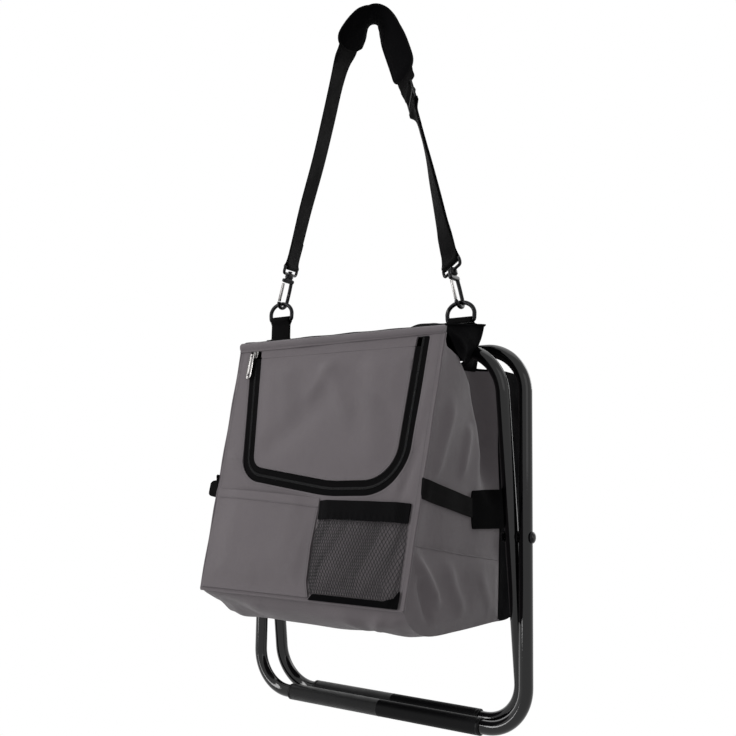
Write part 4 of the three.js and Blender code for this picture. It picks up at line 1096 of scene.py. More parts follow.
# %% [markdown]
# A webbing band runs from the front seam of each side to a square of hook-and-loop tape. They follow the
# side's relief. The tape's hooks are far too small to model, so its finish has a rough, matt pile.

# %% Side bands and patches
SLOPE, BAND_W = math.tan(math.radians(11.6)), 22.8
BAND_START, BAND_END, PATCH_END = -147.4, -35.5, 48.4


def band_z(y):
    return 44.4 - (y - BAND_START) * SLOPE


band_outline = np.array([(BAND_START, band_z(BAND_START)), (BAND_END, band_z(BAND_END)),
                         (BAND_END, band_z(BAND_END) + BAND_W), (BAND_START, band_z(BAND_START) + BAND_W)])
patch_middle = band_z(BAND_END) + 9
patch_outline = np.array([(-34, -22), (PATCH_END - 3, -24), (PATCH_END, -20), (PATCH_END, 21),
                          (PATCH_END - 3, 24), (-34, 22.5), (-36, 18), (-36, -18)]) + (0, patch_middle)
for side, s in SIDES:
    band_cloth = cloth(f"side_webbing_{side}", band_outline, on_side(s), 1.4, WEBBING, 3.0,
                       lambda y, z: side_relief(y, z) + 1.9)
    blend(band_cloth, [f"side_band_{side}"])
    patch = cloth(f"pile_patch_{side}", patch_outline, on_side(s), 1.6, PILE, 3.0,
                  lambda y, z: np.where(y < SPLIT_Y, side_relief(y, z), 0) + 1.7)
    ride(patch, "bag", [f"hook_and_loop_patch_{side}"])

# %% [markdown]
# The bottom, the rear, the seat cloth and the lining are sheets bent along a line in the YZ plane. One
# helper takes that line and half a width for each place on it. A relief gets the place on the sheet and a
# factor that dies away at its edges.


# %% Bent sheets
def bent(name, line, half, thick, look, step, relief=None, inward=False):
    line = np.asarray(line, float)
    length, t = run_of(line), unit(np.gradient(line, axis=0))
    normal = np.stack([t[:, 1], -t[:, 0]], 1) * (-1 if inward else 1)
    h = np.array([half(*p) for p in line])
    outline = np.vstack([np.stack([h, length], 1), np.stack([-h, length], 1)[::-1]])

    def to3d(u, q, w):
        return np.column_stack([u, at_run(q, length, line) + at_run(q, length, normal) * w[:, None]])

    def shape(u, q):
        return relief(u, q, smooth(edge_distance(np.stack([u, q], 1), outline) / 22))

    return cloth(name, outline, to3d, thick, look, step, relief and shape)


def panel_half(y, z):
    return half_width(z) - 0.4


def infold_at(y, z):
    return float(infold(np.array([y]), np.array([z]))[0])


BOTTOM_FOLDS = [(60, 4, 90, 40, 9, 3), (-60, 6, -90, 50, 12, 2.4), (120, 2, 100, 36, 7, 3.4)]
bottom = bent("bottom_cloth", base_path, panel_half, 2.2, GREY, 4.5,
              lambda u, q, c: (ripple(u, q, 61, 110, 1.6) + 2.5 + folds(u, q, BOTTOM_FOLDS)) * c)
ride(tuck(bottom), "bag", ["bottom_panel"])
rear_line = spline([(REAR_BASE[0], REAR_BASE[1]), (92, 0), (87, 90), (REAR_TOP[0], REAR_TOP[1])], 50)
rear = bent("rear_cloth", rear_line, panel_half, 2.2, BLACK, 5.0,
            lambda u, q, c: (ripple(u, q, 71, 130, 1.6) + 4.5 * c) * c)
ride(rear, "bag", ["rear_panel"])
for side, s in SIDES:
    z = np.linspace(REAR_BASE[1], REAR_TOP[1] - 1, 60)
    bead(f"rear_seam_{side}", np.stack([s * half_width(z), rear_y(z), z], 1), "bag", BLACK)
low_seam = np.linspace(-148, 148, 60)[:, None] * (1, 0, 0) + (0, *REAR_BASE)
bead("rear_seam_low", low_seam, "bag", BLACK, (0, 1, 0))
cover_line = [(y, 199.2 + 3.0 * math.exp(-((y + 5) / 40) ** 2)) for y in np.linspace(-98, 79, 50)][::-1]
top_cover = bent("top_cover", cover_line, lambda y, z: half_width(z) - infold_at(y, 200.0) - 1.0, 1.6,
                 BLACK, 5.0, lambda u, q, c: ripple(u, q, 81, 70, 1.4) * c, True)
ride(top_cover, "bag", ["top_panel"])
print("bottom, rear and top made")

# %% [markdown]
# The lining is silver foil on foam. It shows when the flap is lifted, so it is a set of plain sheets inside
# the cloth, a foam's thickness away from it, with crinkled foil as the finish.

# %% Lining
FOAM, FOIL = 6.0, 1.2
LINER_LOW, LINER_HIGH, LINER_THICK, LINER_SINK = 0.075 * PANEL_H, 0.83 * PANEL_H, 4.6, -3.5
for side, s in SIDES:
    outline = np.array([(-158, -66), (-128, -92), (50, -92), (84, -70), (74, 190), (-90, 190)])
    sheet = cloth(f"lining_{side}", outline, on_side(s, -FOAM - 2.4), FOIL, LINER, 7.0)
    blend(sheet, ["insulation_shell"] if s < 0 else ())


def inner_half(y, z):
    return half_width(z) - FOAM - 4


def narrow_half(y, z):
    return inner_half(y, z) - infold_at(y, 190.0)


for name, line, half, step in (
        ("bottom", spline([(-158, -66), (-128, -91), (-40, -94), (50, -91), (84, -68)], 40), inner_half, 7.0),
        ("rear", [(84, -68), (79, 60), (73, 188)], inner_half, 8.0),
        ("top", [(y, 190.0) for y in np.linspace(73, -88, 20)], narrow_half, 8.0)):
    ride(bent(f"lining_{name}", line, half, FOIL, LINER, step), "bag", ())
low_half, high_half = half_at(LINER_LOW) - 9.2, half_at(LINER_HIGH) - 9.2
front_foam = np.vstack([[(-low_half, LINER_LOW), (low_half, LINER_LOW), (high_half, LINER_HIGH)],
                        zip_line(TAPE_HALF * 1.15, LINER_HIGH)[::-1], [(-high_half, LINER_HIGH)]])
flap_foam = zip_line(-TAPE_HALF * 2.2, LINER_HIGH)
for name, body, node, outline in (("front_lining", "bag_front", "front_liner", front_foam),
                                  ("flap_lining", "flap", "flap_liner", flap_foam)):
    sheet = cloth(name, outline, on_front, LINER_THICK, LINER, 6.0, LINER_SINK)
    ride(sheet, body, [node])
print("lining made")

# %% [markdown]
# ## The seat cloth
# The black seat cloth stands over the two rails as a low tent. Its front half is sewn to the front's hem and
# its rear half wraps the rear rail. Each half is baked in place and rides on no body.

# %% Seat cloth
RIDGE_HALF, FRONT_IN, REAR_IN = 167.6, 12.4, 34.6
SEAT_STEP, SEAT_THICK, RIDGE_TOP, END_FOOT = 3.6, 1.6, 248.6, 199
front_line = spline([(-106.0, 238.4), (-101, 241.6), (-88, 243.6), (-66, 245.6), (RIDGE_Y, RIDGE_TOP)], 30)
rear_tent = spline([(RIDGE_Y, RIDGE_TOP), (-22, 248.2), (-7, 244.6), (4, 237.4), (11.4, 229),
                    (12.6, 216)], 34)
SEAT_ENDS = ends_at([0, -52, 250], [0, -100, 250])
REAR_ENDS = ends_at([0, -22, 245], [0, 8, 235])
SEAT_FOLDS = [(-150, 6, -60, 14, 6, -1.6), (-100, 30, -40, 20, 8, -1.6), (40, 22, 130, 16, 7, -1.6)]


def ridge_lift(u):
    """The cloth stands up on both sides of the right ring's webbing."""
    return 8.0 * smooth((u - 56) / 30) * (1 - smooth((u - 102) / 8)) + 1.2 * smooth((u - 150) / 14)


def front_half(y, z):
    t = float(np.clip((y - FRONT_TOP[0]) / (RIDGE_Y - FRONT_TOP[0]), 0, 1))
    return RIDGE_HALF - FRONT_IN + FRONT_IN * t


def tent_half(y, z=None):
    return RIDGE_HALF - REAR_IN * np.clip((y - RIDGE_Y) / 36.7, 0, 1)


seat_front = bent("seat_front_cloth", front_line, front_half, SEAT_THICK, BLACK, SEAT_STEP,
                  lambda u, q, c: (ripple(u, q, 91, 60, 0.9) + folds(u, q, SEAT_FOLDS)) * c
                  + ridge_lift(u) * smooth((q - 34) / 36), True)
blend(seat_front, ["seat_cloth_front"])
seat_rear = bent("seat_rear_cloth", rear_tent, tent_half, SEAT_THICK, BLACK, SEAT_STEP,
                 lambda u, q, c: (ripple(u, q, 92, 60, 1.3) + crest(u, q, (-120, 20), (20, 30), 6, 1.6)) * c
                 + ridge_lift(u) * smooth((20 - q) / 20), True)
blend(seat_rear, ["seat_cloth_rear"])
TENT_TOP = np.vstack([front_line, rear_tent[1:]])[:-8]


def on_end(s):
    """From the bag's side below to the edge of the seat above."""
    def to3d(y, z, w):
        high = np.interp(y, TENT_TOP[:, 0], TENT_TOP[:, 1]) - 1.2
        t = np.clip((z - END_FOOT) / np.maximum(high - END_FOOT, 8), 0, 1) ** 0.4
        in_front = RIDGE_HALF - FRONT_IN * np.clip((RIDGE_Y - y) / 66.8, 0, 1)
        wide = np.where(y < RIDGE_Y, in_front, tent_half(y)) - 1.8
        low_x = half_width(200.0) + 0.8 - infold(y, np.full_like(y, 200.0))
        return np.stack([s * (low_x * (1 - t) + wide * t + w), y, z], 1)
    return to3d


def end_relief(y, z):
    swell = 2.0 * np.exp(-(((z - 226) / 14) ** 2))
    return ripple(y, z, 95, 40, 1.0) + swell + crest(y, z, (-96, 236), (-60, 212), 5, 2.0)


front_end = np.vstack([[(-102, 237.5)], front_line[6:] - (0, 1.4),
                       [(RIDGE_Y, END_FOOT), (-62, END_FOOT), (-77, 207)]])
rear_end = np.vstack([rear_tent[:-7] - (0.4, 1.4), [(12, 214), (12, END_FOOT), (RIDGE_Y, END_FOOT)]])
rail_hole = ring(9.6, 24) + (-29.8, 218.6)
for side, s in SIDES:
    a = cloth(f"end_cloth_front_{side}", front_end, on_end(s), 1.4, BLACK, 3.2, end_relief)
    blend(a, [f"end_drape_{side}"])
    b = cloth(f"end_cloth_rear_{side}", rear_end, on_end(s), 1.4, BLACK, 3.2, end_relief, [rail_hole])
    blend(b, ())
print("seat cloth made")

# %% [markdown]
# ## Rings and hooks
# The D-rings are bent round wire. Each hangs on a loop of webbing that is sewn to the ridge of the seat.

# %% D-rings
STRAP_W, WEB = 38.0, 1.6
RING_WIRE, RING_HALF, RING_HIGH, TAB_W = 5.32, 19.0, 23.18, 31.92
HOOK_WIRE, HOOK_BEND, HOOK_MOUTH = 5.016, 7.98, 35.34


def rounded(corners, radius, steps=7, closed=True):
    """A path round the corners, each rounded with an arc of about that radius."""
    c = np.asarray(corners, float)
    n, out = len(c), []
    for i in range(n):
        if not closed and i in (0, n - 1):
            out.append(c[i])
            continue
        a, b = c[i - 1] - c[i], c[(i + 1) % n] - c[i]
        la, lb = np.linalg.norm(a), np.linalg.norm(b)
        d = min(radius, la * 0.45, lb * 0.45)
        p, q = c[i] + a / la * d, c[i] + b / lb * d
        for t in np.linspace(0, 1, steps):
            out.append((1 - t) ** 2 * p + 2 * t * (1 - t) * c[i] + t**2 * q)
    return np.array(out)


def circle_points(radius, degrees):
    return [(radius * math.cos(math.radians(a)), radius * math.sin(math.radians(a))) for a in degrees]


for side, x in RING_X.items():
    foot, lift = RING_HALF * 0.97, RING_HALF * 0.45
    arc = [(RING_HALF * math.cos(a), lift + (RING_HIGH - lift) * math.sin(a))
           for a in np.linspace(0, math.pi, 25)]
    flat_path = rounded([(foot, 0), *arc, (-foot, 0)], 3.0, 6)
    path = np.stack([x + flat_path[:, 0], np.full(len(flat_path), RIDGE_Y), BAR_Z[side] + flat_path[:, 1]], 1)
    points, faces, uvs = sweep(closed_path(path, 1.6), ring(RING_WIRE / 2, 16), (0, 1, 0), closed=True)
    wire = mesh_piece(f"ring_{side}", points, faces, DARK_METAL, uvs, 60)
    ride(wire, "d_rings", [f"d_ring_{side}"])

# %% [markdown]
# A strap needs its own sweep: the width direction is given for every place, because the webbing twists.
# Its section is a flat bar with rounded edges, and its UV runs along it for the ribs.


# %% Straps
def strap(name, path, widths, width, step):
    p = np.asarray(path, float)
    run = run_of(p)
    n = max(int(run[-1] / step), 2)
    s = np.linspace(0, run[-1], n + 1)
    p, w = at_run(s, run, p), at_run(s, run, np.asarray(widths, float))
    t = unit(np.gradient(p, axis=0))
    w = across_to(w, t)
    a, e = width / 2, WEB / 2
    under = [(-a, -0.4 * e), (-a + 0.4, -e), (-a * 0.5, -e), (0, -e), (a * 0.5, -e), (a - 0.4, -e),
             (a, -0.4 * e)]
    section = np.array(under + [(x, -y) for x, y in under[::-1]])
    points = p[:, None] + w[:, None] * section[None, :, :1] + np.cross(t, w)[:, None] * section[None, :, 1:]
    uvs = np.stack([np.repeat(s / 1000, len(section)), np.tile(section[:, 0] / 1000, n + 1)], 1)
    return mesh_piece(name, points.reshape(-1, 3), tube_faces(n + 1, len(section)), WEBBING, uvs, 50)


LAYER = (WEB + 0.6) / 2
BAR_WRAP = RING_WIRE / 2 + 0.9 + WEB / 2
TAB_FOOT, SEWN_LOW = 11.4, RIDGE_Z + 1.5 + 0.3 + WEB
for side, bar in BAR_Z.items():
    slope = 1.8 / ((RIDGE_Y - FRONT_TOP[0]) / 2)
    half = [(-TAB_FOOT, RIDGE_Z + 3.0 - TAB_FOOT * slope), (-BAR_WRAP * 1.45, RIDGE_Z + 2.8)]
    if bar - SEWN_LOW > BAR_WRAP * 2:
        half += [(-LAYER * 1.1, SEWN_LOW + LAYER * 1.5), (-LAYER, bar - BAR_WRAP * 1.5)]
    half += [(y, bar + z) for y, z in circle_points(BAR_WRAP, (190, 172, 145, 117, 90))]
    path = np.array(half + [(-y, z) for y, z in half[-2::-1]])
    path = np.stack([np.full(len(path), RING_X[side]), RIDGE_Y + path[:, 0], path[:, 1]], 1)
    path = rounded(path, 1.6, 4, closed=False)
    tab = strap(f"ring_webbing_{side}", path, np.tile((1.0, 0, 0), (len(path), 1)), TAB_W, 1.2)
    ride(tab, "bag", [f"ring_tab_{side}"])
print("rings made")

# %% [markdown]
# The snap hooks are die cast, so their parts flow into each other. The bend, the head and the shoulder are
# made as overlapping shells, fused by a fine voxel remesh and smoothed a little, which gives cast fillets.
# The stem stays a separate turned piece.

# %% Hook helpers
OVER = [(-0.23, -0.5346, 107, 0), (-0.1839, -0.3941, 106, 0), (-0.1478, -0.2787, 105, -0.0043),
        (-0.1117, -0.1651, 104, -0.0108), (-0.0892, -0.1173, 99, -0.0173), (-0.0688, -0.0902, 92, -0.0217),
        (-0.0563, -0.0651, 89, -0.0238), (-0.043, -0.0416, 92, -0.0217), (-0.0282, -0.0161, 102, -0.0173),
        (-0.0152, 0.0019, 112, -0.0098), (0, 0.0113, 124, 0), (0.0169, 0.0086, 134, 0.0087),
        (0.0305, -0.0051, 142, 0.0163), (0.0428, -0.029, 149, 0.0217), (0.0568, -0.0642, 154, 0.0238),
        (0.0735, -0.1006, 157, 0.0238), (0.0892, -0.141, 157, 0.0238), (0.1011, -0.1745, 156, 0.0228),
        (0.1105, -0.2027, 155, 0.0217), (0.1191, -0.2234, 150, 0.0195)]
LOW = [(0.1363, -0.2727, 134, 0.013), (0.1565, -0.3219, 124, 0.0108), (0.1752, -0.3738, 119.5, 0.0065),
       (0.1958, -0.4422, 121.5, 0.0033), (0.2154, -0.515, 128, 0), (0.2328, -0.5854, 133, 0),
       (0.249, -0.6546, 138, 0), (0.2587, -0.6947, 143, 0)]
HANG_H = HANG[2] - RAIL_Z
HOOK_Z = {s: BAR_Z[s] + RING_HIGH - RING_WIRE / 2 - 0.6 - HOOK_WIRE / 2 for s in BAR_Z}
EYE_TURN = {"left": math.radians(109), "right": math.radians(149)}
lean_of = {side: math.atan2(HANG[0] + a * HANG_H - RING_X[side], HANG[2] + b * HANG_H - HOOK_Z[side])
           for side, (a, b, _, _) in (("left", OVER[0]), ("right", LOW[-1]))}


def leaned(side, points, turn_by=0.0):
    p = np.asarray(points, float)
    c, s = math.cos(turn_by), math.sin(turn_by)
    p = np.stack([p[:, 0] * c - p[:, 1] * s, p[:, 0] * s + p[:, 1] * c, p[:, 2]], 1)
    c, s = math.cos(lean_of[side]), math.sin(lean_of[side])
    p = np.stack([p[:, 0] * c + p[:, 2] * s, p[:, 1], -p[:, 0] * s + p[:, 2] * c], 1)
    return p + (RING_X[side], RIDGE_Y, HOOK_Z[side])


def block(size, centre, bevel):
    """A box with its long edges rounded, as a sweep along Z."""
    a, b, c = np.array(size) / 2
    corners = rounded([(a, b), (-a, b), (-a, -b), (a, -b)], bevel, 5)
    z = np.array([-c, -c + bevel * 0.4, -c + bevel, c - bevel, c - bevel * 0.4, c])
    k = 1 - np.array([bevel, bevel * 0.3, 0, 0, bevel * 0.3, bevel]) / max(min(a, b), 1e-6)
    points = np.array([(x * ki, y * ki, zi) for zi, ki in zip(z, k) for x, y in corners]) + centre
    return points, tube_faces(len(z), len(corners)), points[:, :2] / 1000


def settled(obj):
    """The object with the form that its modifiers give it."""
    old, new = obj.data, baked(obj)
    obj.modifiers.clear()
    obj.data = new
    bpy.data.meshes.remove(old)
    return obj


def fused(obj, voxel, smooth_times=4):
    """One skin over all shells of a casting."""
    remesh = obj.modifiers.new("cast", "REMESH")
    remesh.mode, remesh.voxel_size, remesh.use_smooth_shade = "VOXEL", voxel / 1000, True
    soft = obj.modifiers.new("soft", "SMOOTH")
    soft.factor, soft.iterations = 0.5, smooth_times
    return settled(obj)


# %% Snap hooks
UPRIGHT = (0, 0, 1)
HEAD_HIGH, SHANK, BOSS_R = STRAP_W * 0.17, HOOK_WIRE * 0.42, HOOK_WIRE * 1.15
NECK = HOOK_MOUTH + HEAD_HIGH
BOSS_TOP = NECK + 0.6 + STRAP_W * 0.2
GATE_LOW, GATE_HIGH = HOOK_BEND + HOOK_WIRE * 0.12, HOOK_MOUTH - HOOK_WIRE * 0.18
EYE_WIRE = HOOK_WIRE * 0.8
EYE_IN = STRAP_W / 2 + 0.6 + EYE_WIRE / 2
EYE_LOW = NECK + 0.6 + STRAP_W * 0.2 - EYE_WIRE / 2
EYE_BAR = EYE_LOW + STRAP_W * 0.25
bend = [(0, HOOK_BEND * 0.9, HOOK_MOUTH + 2), (0, HOOK_BEND, HOOK_MOUTH * 0.7), (0, HOOK_BEND, HOOK_BEND)]
bend += [(0, HOOK_BEND * math.cos(a), HOOK_BEND + HOOK_BEND * math.sin(a))
         for a in -np.linspace(0, math.pi, 14)[1:]]
wire = sweep(resample(spline(bend, 60), 1.2), ring(HOOK_WIRE / 2, 16), (1, 0, 0))
head = block((HOOK_WIRE * 1.02, 2 * HOOK_BEND + HOOK_WIRE, HEAD_HIGH),
             (0, 0, HOOK_MOUTH + HEAD_HIGH / 2), 1.5)
shoulder = block((HOOK_WIRE * 0.9, HOOK_BEND * 1.5, 4.0), (0, 0, NECK), 1.4)
stem_profile = [(NECK - 1, 0.02), (NECK - 1, SHANK), (BOSS_TOP + 0.3, SHANK), (BOSS_TOP + 0.3, SHANK * 1.5),
                (BOSS_TOP + SHANK * 0.9, SHANK * 1.4), (BOSS_TOP + SHANK * 1.15, SHANK * 0.9),
                (BOSS_TOP + SHANK * 1.2, 0.02)]
gate_at = (0, -HOOK_BEND, (GATE_HIGH + GATE_LOW) / 2)
eye_corners = [(-EYE_IN, 0, EYE_LOW), (EYE_IN, 0, EYE_LOW), (EYE_IN, 0, EYE_BAR), (-EYE_IN, 0, EYE_BAR)]
eye_path = closed_path(rounded(eye_corners, EYE_WIRE, 7), 1.4)
eye = sweep(eye_path, ring(EYE_WIRE / 2, 14), (0, 1, 0), closed=True)
boss_profile = [(NECK + 0.6, SHANK + 0.3), (NECK + 0.6, BOSS_R - 0.6), (NECK + 1.2, BOSS_R),
                (BOSS_TOP - 1.4, BOSS_R), (BOSS_TOP - 0.4, BOSS_R - 0.8), (BOSS_TOP - 0.2, SHANK + 0.3)]
casting, stem = join(wire, head, shoulder), turn(stem_profile, 20, UPRIGHT)
lever = block((HOOK_WIRE * 0.6, HOOK_WIRE * 0.7, GATE_HIGH - GATE_LOW), gate_at, 0.7)
swivel = join(eye, turn(boss_profile, 24, UPRIGHT))


def fitting(name, shell, look, sharp, side, turn_by=0.0):
    points, faces, uvs = shell
    return mesh_piece(f"{name}_{side}", leaned(side, points, turn_by), faces, look, uvs, sharp)


for side in RING_X:
    hook = fused(fitting("hook", casting, DARK_METAL, 35.0, side), 0.42)
    ride(hook, f"hook_{side}", [f"snap_hook_{side}"])
    ride(fitting("hook_stem", stem, DARK_METAL, 40, side), f"hook_{side}", ())
    gate = fitting("gate_lever", lever, NICKEL, 40, side)
    ride(gate, f"gate_{side}", [f"hook_gate_{side}"])
    turned_eye = fitting("swivel", swivel, DARK_METAL, 40, side, EYE_TURN[side])
    ride(turned_eye, "strap", [f"swivel_eye_{side}"])
print("hooks made")

# %% [markdown]
# ## The shoulder strap
# One length of webbing starts at the left eye, goes over the hang point under the pad, weaves through the
# slide buckle, turns round the right eye and comes back up to the buckle. The path below is that run.

# %% Strap path
WRAP = EYE_WIRE / 2 + 0.3 + WEB / 2


def flat_dir(degrees):
    a = np.radians(np.asarray(degrees, float))
    return np.stack([np.cos(a), np.sin(a), np.zeros_like(a)], -1)


def strap_points(rows):
    """A row has the place across and up, the direction of the width in degrees, and the place in depth."""
    rows = np.array(rows)
    return HANG + rows[:, [0, 3, 1]] * HANG_H, flat_dir(rows[:, 2])


def eye_loop(side, tail):
    w = flat_dir(math.degrees(EYE_TURN[side]))
    n = np.array([-w[1], w[0], 0])
    spots = [(-LAYER, EYE_BAR + tail), (-LAYER, EYE_BAR + WRAP * 1.9)]
    spots += [(a, EYE_BAR + z) for a, z in circle_points(WRAP, range(170, 371, 20))]
    spots += [(LAYER, EYE_BAR + WRAP * 1.9)]
    p = leaned(side, np.array([n * a + (0, 0, z) for a, z in spots]))
    width = leaned(side, np.array([w])) - leaned(side, np.zeros((1, 3)))
    return p, np.repeat(width, len(p), 0)


def shifted(p, w, amount):
    i = np.arange(len(p))
    t = unit(p[np.minimum(i + 1, len(p) - 1)] - p[np.maximum(i - 1, 0)])
    return p + unit(np.cross(t, w)) * amount


tail_length = STRAP_W * 0.95
over_p, over_w = strap_points(OVER)
low_p, low_w = strap_points(LOW)
tri_at = low_p[0]
tri_down = unit(low_p[1] - over_p[-1])
tri_width = unit(low_w[0] - tri_down * float(low_w[0] @ tri_down))
tri_normal = unit(np.cross(tri_down, tri_width))
TRI_RAIL, TRI_WINDOW, TRI_BAR, TRI_THICK = STRAP_W * 0.08, STRAP_W * 0.23, STRAP_W * 0.045, STRAP_W * 0.06
WEAVE = TRI_THICK / 2 + 0.3 + WEB / 2 + 0.3
TRI_EDGE = TRI_BAR + TRI_WINDOW


def on_tri(rows):
    rows = np.array(rows, float)
    points = tri_at + tri_down * rows[:, :1] + tri_normal * rows[:, 1:]
    return points, np.repeat(tri_width[None], len(rows), 0)


past_rail, clear = TRI_EDGE + TRI_RAIL, TRI_EDGE + 2 * TRI_RAIL
through_p, through_w = on_tri([(-TRI_EDGE - TRI_RAIL, -WEAVE), (-TRI_EDGE, -WEAVE), (-TRI_BAR, WEAVE),
                               (TRI_BAR, WEAVE), (TRI_EDGE, -WEAVE), (past_rail, -WEAVE), (clear, -WEAVE)])
left_p, left_w = eye_loop("left", tail_length)
right_p, right_w = eye_loop("right", tail_length * 0.5)
leg_p = np.vstack([low_p[1:], (right_p[:1] + right_p[-1:]) / 2])
leg_w = np.vstack([low_w[1:], right_w[:1]])
down_p, back_p = shifted(leg_p, leg_w, -LAYER)[:-1], shifted(leg_p, leg_w, LAYER)[:-1][::-1]
end_p, end_w = on_tri([(clear, WEAVE), (past_rail, WEAVE), (TRI_EDGE + 0.3, WEAVE)])
strap_p = np.vstack([left_p, over_p, through_p, down_p, right_p[1:], back_p, end_p])
strap_w = np.vstack([left_w, over_w, through_w, leg_w[:-1], right_w[1:], leg_w[:-1][::-1], end_w])
WIDTH_SCALE = 20
both = spline(np.hstack([strap_p, strap_w * WIDTH_SCALE]), 900)
webbing = strap("shoulder_webbing", both[:, :3], both[:, 3:], STRAP_W, 2.0)
ride(webbing, "strap", ["shoulder_strap"])


# %% Slide buckle
def buckle_bar(middle, run, reach, across, high):
    """A flat bar with rounded edges through the middle. Its height is measured along `across`."""
    e = TRI_THICK * 0.55
    section = rounded([(high / 2, e), (-high / 2, e), (-high / 2, -e), (high / 2, -e)], 0.7, 4)
    return sweep(np.array([middle + run * k for k in np.linspace(-reach, reach, 20)]), section, across)


across = STRAP_W / 2 + 0.6
rail_at = TRI_EDGE + TRI_RAIL / 2
bars = [buckle_bar(tri_at + tri_down * at, tri_width, across + TRI_RAIL * 0.6, tri_down, high)
        for at, high in ((-rail_at, TRI_RAIL), (0.0, 2 * TRI_BAR), (rail_at, TRI_RAIL))]
bars += [buckle_bar(tri_at + tri_width * k * (across + TRI_RAIL / 2), tri_down, past_rail, tri_width,
                    TRI_RAIL) for k in (-1, 1)]
points, faces, uvs = join(*bars)
buckle = fused(mesh_piece("slide_buckle", points, faces, PLASTIC, uvs), 0.4, 3)
ride(buckle, "strap", ["tri_glide"])
print("strap made")

# %% [markdown]
# ### The shoulder pad
# The pad is a flat cushion folded over the hang point. A closed form follows the strap, narrower at its round
# ends, and a cloth simulation inflates it, so that it bulges between its edges and creases where it folds.

# %% Shoulder pad
PAD_W, PAD_T, PAD_EDGE = STRAP_W * 1.4, HANG_H * 0.0208, 1.6
PUFF_LIMIT, SIM_FRAMES = 0.0022, 20
pad_both = spline(np.hstack([over_p[5:-1], over_w[5:-1] * WIDTH_SCALE]), 160)
pad_p, pad_w = pad_both[:, :3], pad_both[:, 3:]
pad_length = run_of(pad_p)
pad_t = np.gradient(pad_p, pad_length, axis=0)


def pad_to3d(s, q, h):
    p, w, t = (at_run(s, pad_length, values) for values in (pad_p, pad_w, pad_t))
    t = unit(t)
    w = across_to(w, t)
    return p + w * np.asarray(q)[:, None] + np.cross(t, w) * np.asarray(h)[:, None]


end, half = pad_length[-1], PAD_W / 2 - PAD_EDGE
lobe = [(half * 0.62 * (1 - math.cos(a)), half * math.sin(a)) for a in np.linspace(0, math.pi / 2, 10)]
pad_outline = np.array([(x + 1, y) for x, y in lobe] + [(end - 1 - x, y) for x, y in lobe[::-1]]
                       + [(end - 1 - x, -y) for x, y in lobe[1:]] + [(x + 1, -y) for x, y in lobe[:0:-1]])
flat, faces = fill(pad_outline, 4.0)
puff = (PAD_T / 2 - PAD_EDGE) * smooth(0.25 + edge_distance(flat, pad_outline) / 11)
top, low = (pad_to3d(flat[:, 0], flat[:, 1], h) for h in (puff, -puff))
points, skin = thicken(top, low, faces)
pad = mesh_piece("pad_cushion", points, skin, BLACK, np.vstack([flat, flat]) / 1000, 80)
rest = np.array([v.co for v in pad.data.vertices])
pin = pad.vertex_groups.new(name="seam")
edge = edge_distance(flat, pad_outline) < 1.0
pin.add([int(i) for i in np.nonzero(np.concatenate([edge, edge]))[0]], 1.0, "REPLACE")
sim = pad.modifiers.new("inflate", "CLOTH")
sim.settings.quality = 8
sim.settings.use_pressure = True
sim.settings.uniform_pressure_force = 4.0
sim.settings.effector_weights.gravity = 0
sim.settings.vertex_group_mass = "seam"
sim.settings.tension_stiffness = sim.settings.compression_stiffness = 15
sim.settings.bending_stiffness = 0.4
sim.point_cache.frame_end = SIM_FRAMES
for f in range(1, SIM_FRAMES + 1):
    bpy.context.scene.frame_set(f)
deps = bpy.context.evaluated_depsgraph_get()
moved = np.array([v.co for v in pad.evaluated_get(deps).data.vertices])
step_by = moved - rest
far = np.linalg.norm(step_by, axis=1, keepdims=True)
step_by *= np.minimum(1, PUFF_LIMIT / np.maximum(far, 1e-9))
pad.modifiers.clear()
pad.vertex_groups.clear()
bpy.context.scene.frame_set(1)
pad.data.vertices.foreach_set("co", (rest + step_by).ravel())
print("pad moved by up to", round(float(np.linalg.norm(step_by, axis=1).max()) * 1000, 2), "mm")
finer = pad.modifiers.new("finer", "SUBSURF")
finer.levels = finer.render_levels = 1
ride(settled(pad), "strap", ["shoulder_pad"])
s, q = closed_path(pad_outline, 2.5).T
points, faces, uvs = sweep(pad_to3d(s, q, np.zeros(len(s))), ring(1.5, 8), (0, 0.3, 1), closed=True)
ride(mesh_piece("pad_piping", points, faces, WEBBING, uvs, 60), "strap", ())
print("pad made")

# %% [markdown]
# ## Pieces that keep their solid form
# The steel plugs, the washers between the loops and the stiff board inside the bag have the right form
# already, so they only get a finish.

# %% Finishes for plain solids
for name, look in (("outer_joint_plug", COAT), ("inner_joint_plug", COAT), ("spacer_left", PLASTIC),
                   ("spacer_right", PLASTIC), ("base_board", PLASTIC)):
    for material_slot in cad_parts[name].material_slots:
        material_slot.material = look.mat

# %% [markdown]
# ## Camera and light
# The photograph was taken from the right and a little below the middle, on a white ground. The camera's
# place and lens were fitted to the outlines of the two loops and of the bag.

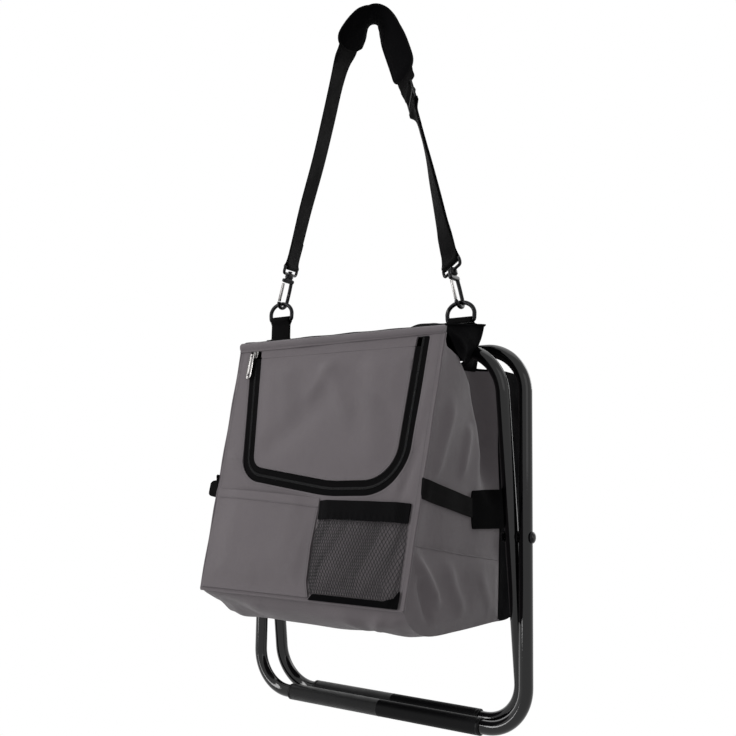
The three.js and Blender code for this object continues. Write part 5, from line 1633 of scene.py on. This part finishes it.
# %% Camera
YAW, PITCH, ROLL = math.radians(35.997), math.radians(6.729), math.radians(0.954)
SENSOR, FOCAL = 36, 950 / 736
eye_at = Vector(place([711.322, -1017.109, 63.103]))
ahead = Vector((-math.sin(YAW) * math.cos(PITCH), math.cos(YAW) * math.cos(PITCH), math.sin(PITCH)))
right = Vector((math.cos(YAW), math.sin(YAW), 0))
up = right.cross(ahead)
right, up = right * math.cos(ROLL) + up * math.sin(ROLL), up * math.cos(ROLL) - right * math.sin(ROLL)
camera = add_object("camera", bpy.data.cameras.new("camera"))
camera.data.sensor_width, camera.data.lens = SENSOR, SENSOR * FOCAL
camera.data.clip_start, camera.data.clip_end = 0.01, 50
camera.matrix_world = Matrix.Translation(eye_at) @ Matrix((right, up, -ahead)).transposed().to_4x4()
bpy.context.scene.camera = camera

# %% [markdown]
# Four soft lamps and a bright ground give the even light of a product photograph. The key lamp is a tall
# strip to the left, so that the front's folds show, and the flat backdrop is plain white.

# %% Light
AIM = (0, -0.1, -0.45)


def lamp(name, power, size, location):
    light = bpy.data.lights.new(name, "AREA")
    light.energy, light.shape, light.size = power, "SQUARE", size
    obj = add_object(name, light)
    obj.location = location
    obj.rotation_euler = (Vector(AIM) - Vector(location)).to_track_quat("-Z", "Y").to_euler()
    return obj


key = lamp("key", 26.0, 0.3, (-1.1, -1.6, 0.0))
key.data.shape, key.data.size_y = "RECTANGLE", 2.4
lamp("fill", 5.0, 1.4, (1.9, -1.2, 0.1))
lamp("top", 6.0, 1.4, (0.2, 0.2, 1.2))
lamp("rim", 8.0, 1.0, (0.6, 1.5, 0.2))

world = bpy.data.worlds.new("white ground")
bpy.context.scene.world = world
world.use_nodes = True
tree = world.node_tree
ground, seen = tree.nodes["Background"], tree.nodes.new("ShaderNodeBackground")
for node, strength in ((ground, 0.36), (seen, 1.0)):
    node.inputs["Color"].default_value = (1, 1, 1, 1)
    node.inputs["Strength"].default_value = strength
path_kind, pick = tree.nodes.new("ShaderNodeLightPath"), tree.nodes.new("ShaderNodeMixShader")
shown = S(tree, path_kind.outputs["Is Camera Ray"]).max(S(tree, path_kind.outputs["Is Glossy Ray"])).max(
    S(tree, path_kind.outputs["Is Transmission Ray"]))
tree.links.new(shown.socket, pick.inputs[0])
tree.links.new(ground.outputs[0], pick.inputs[1])
tree.links.new(seen.outputs[0], pick.inputs[2])
tree.links.new(pick.outputs[0], tree.nodes["World Output"].inputs["Surface"])
bpy.context.scene.view_settings.view_transform = "Standard"
print("camera and light ready")
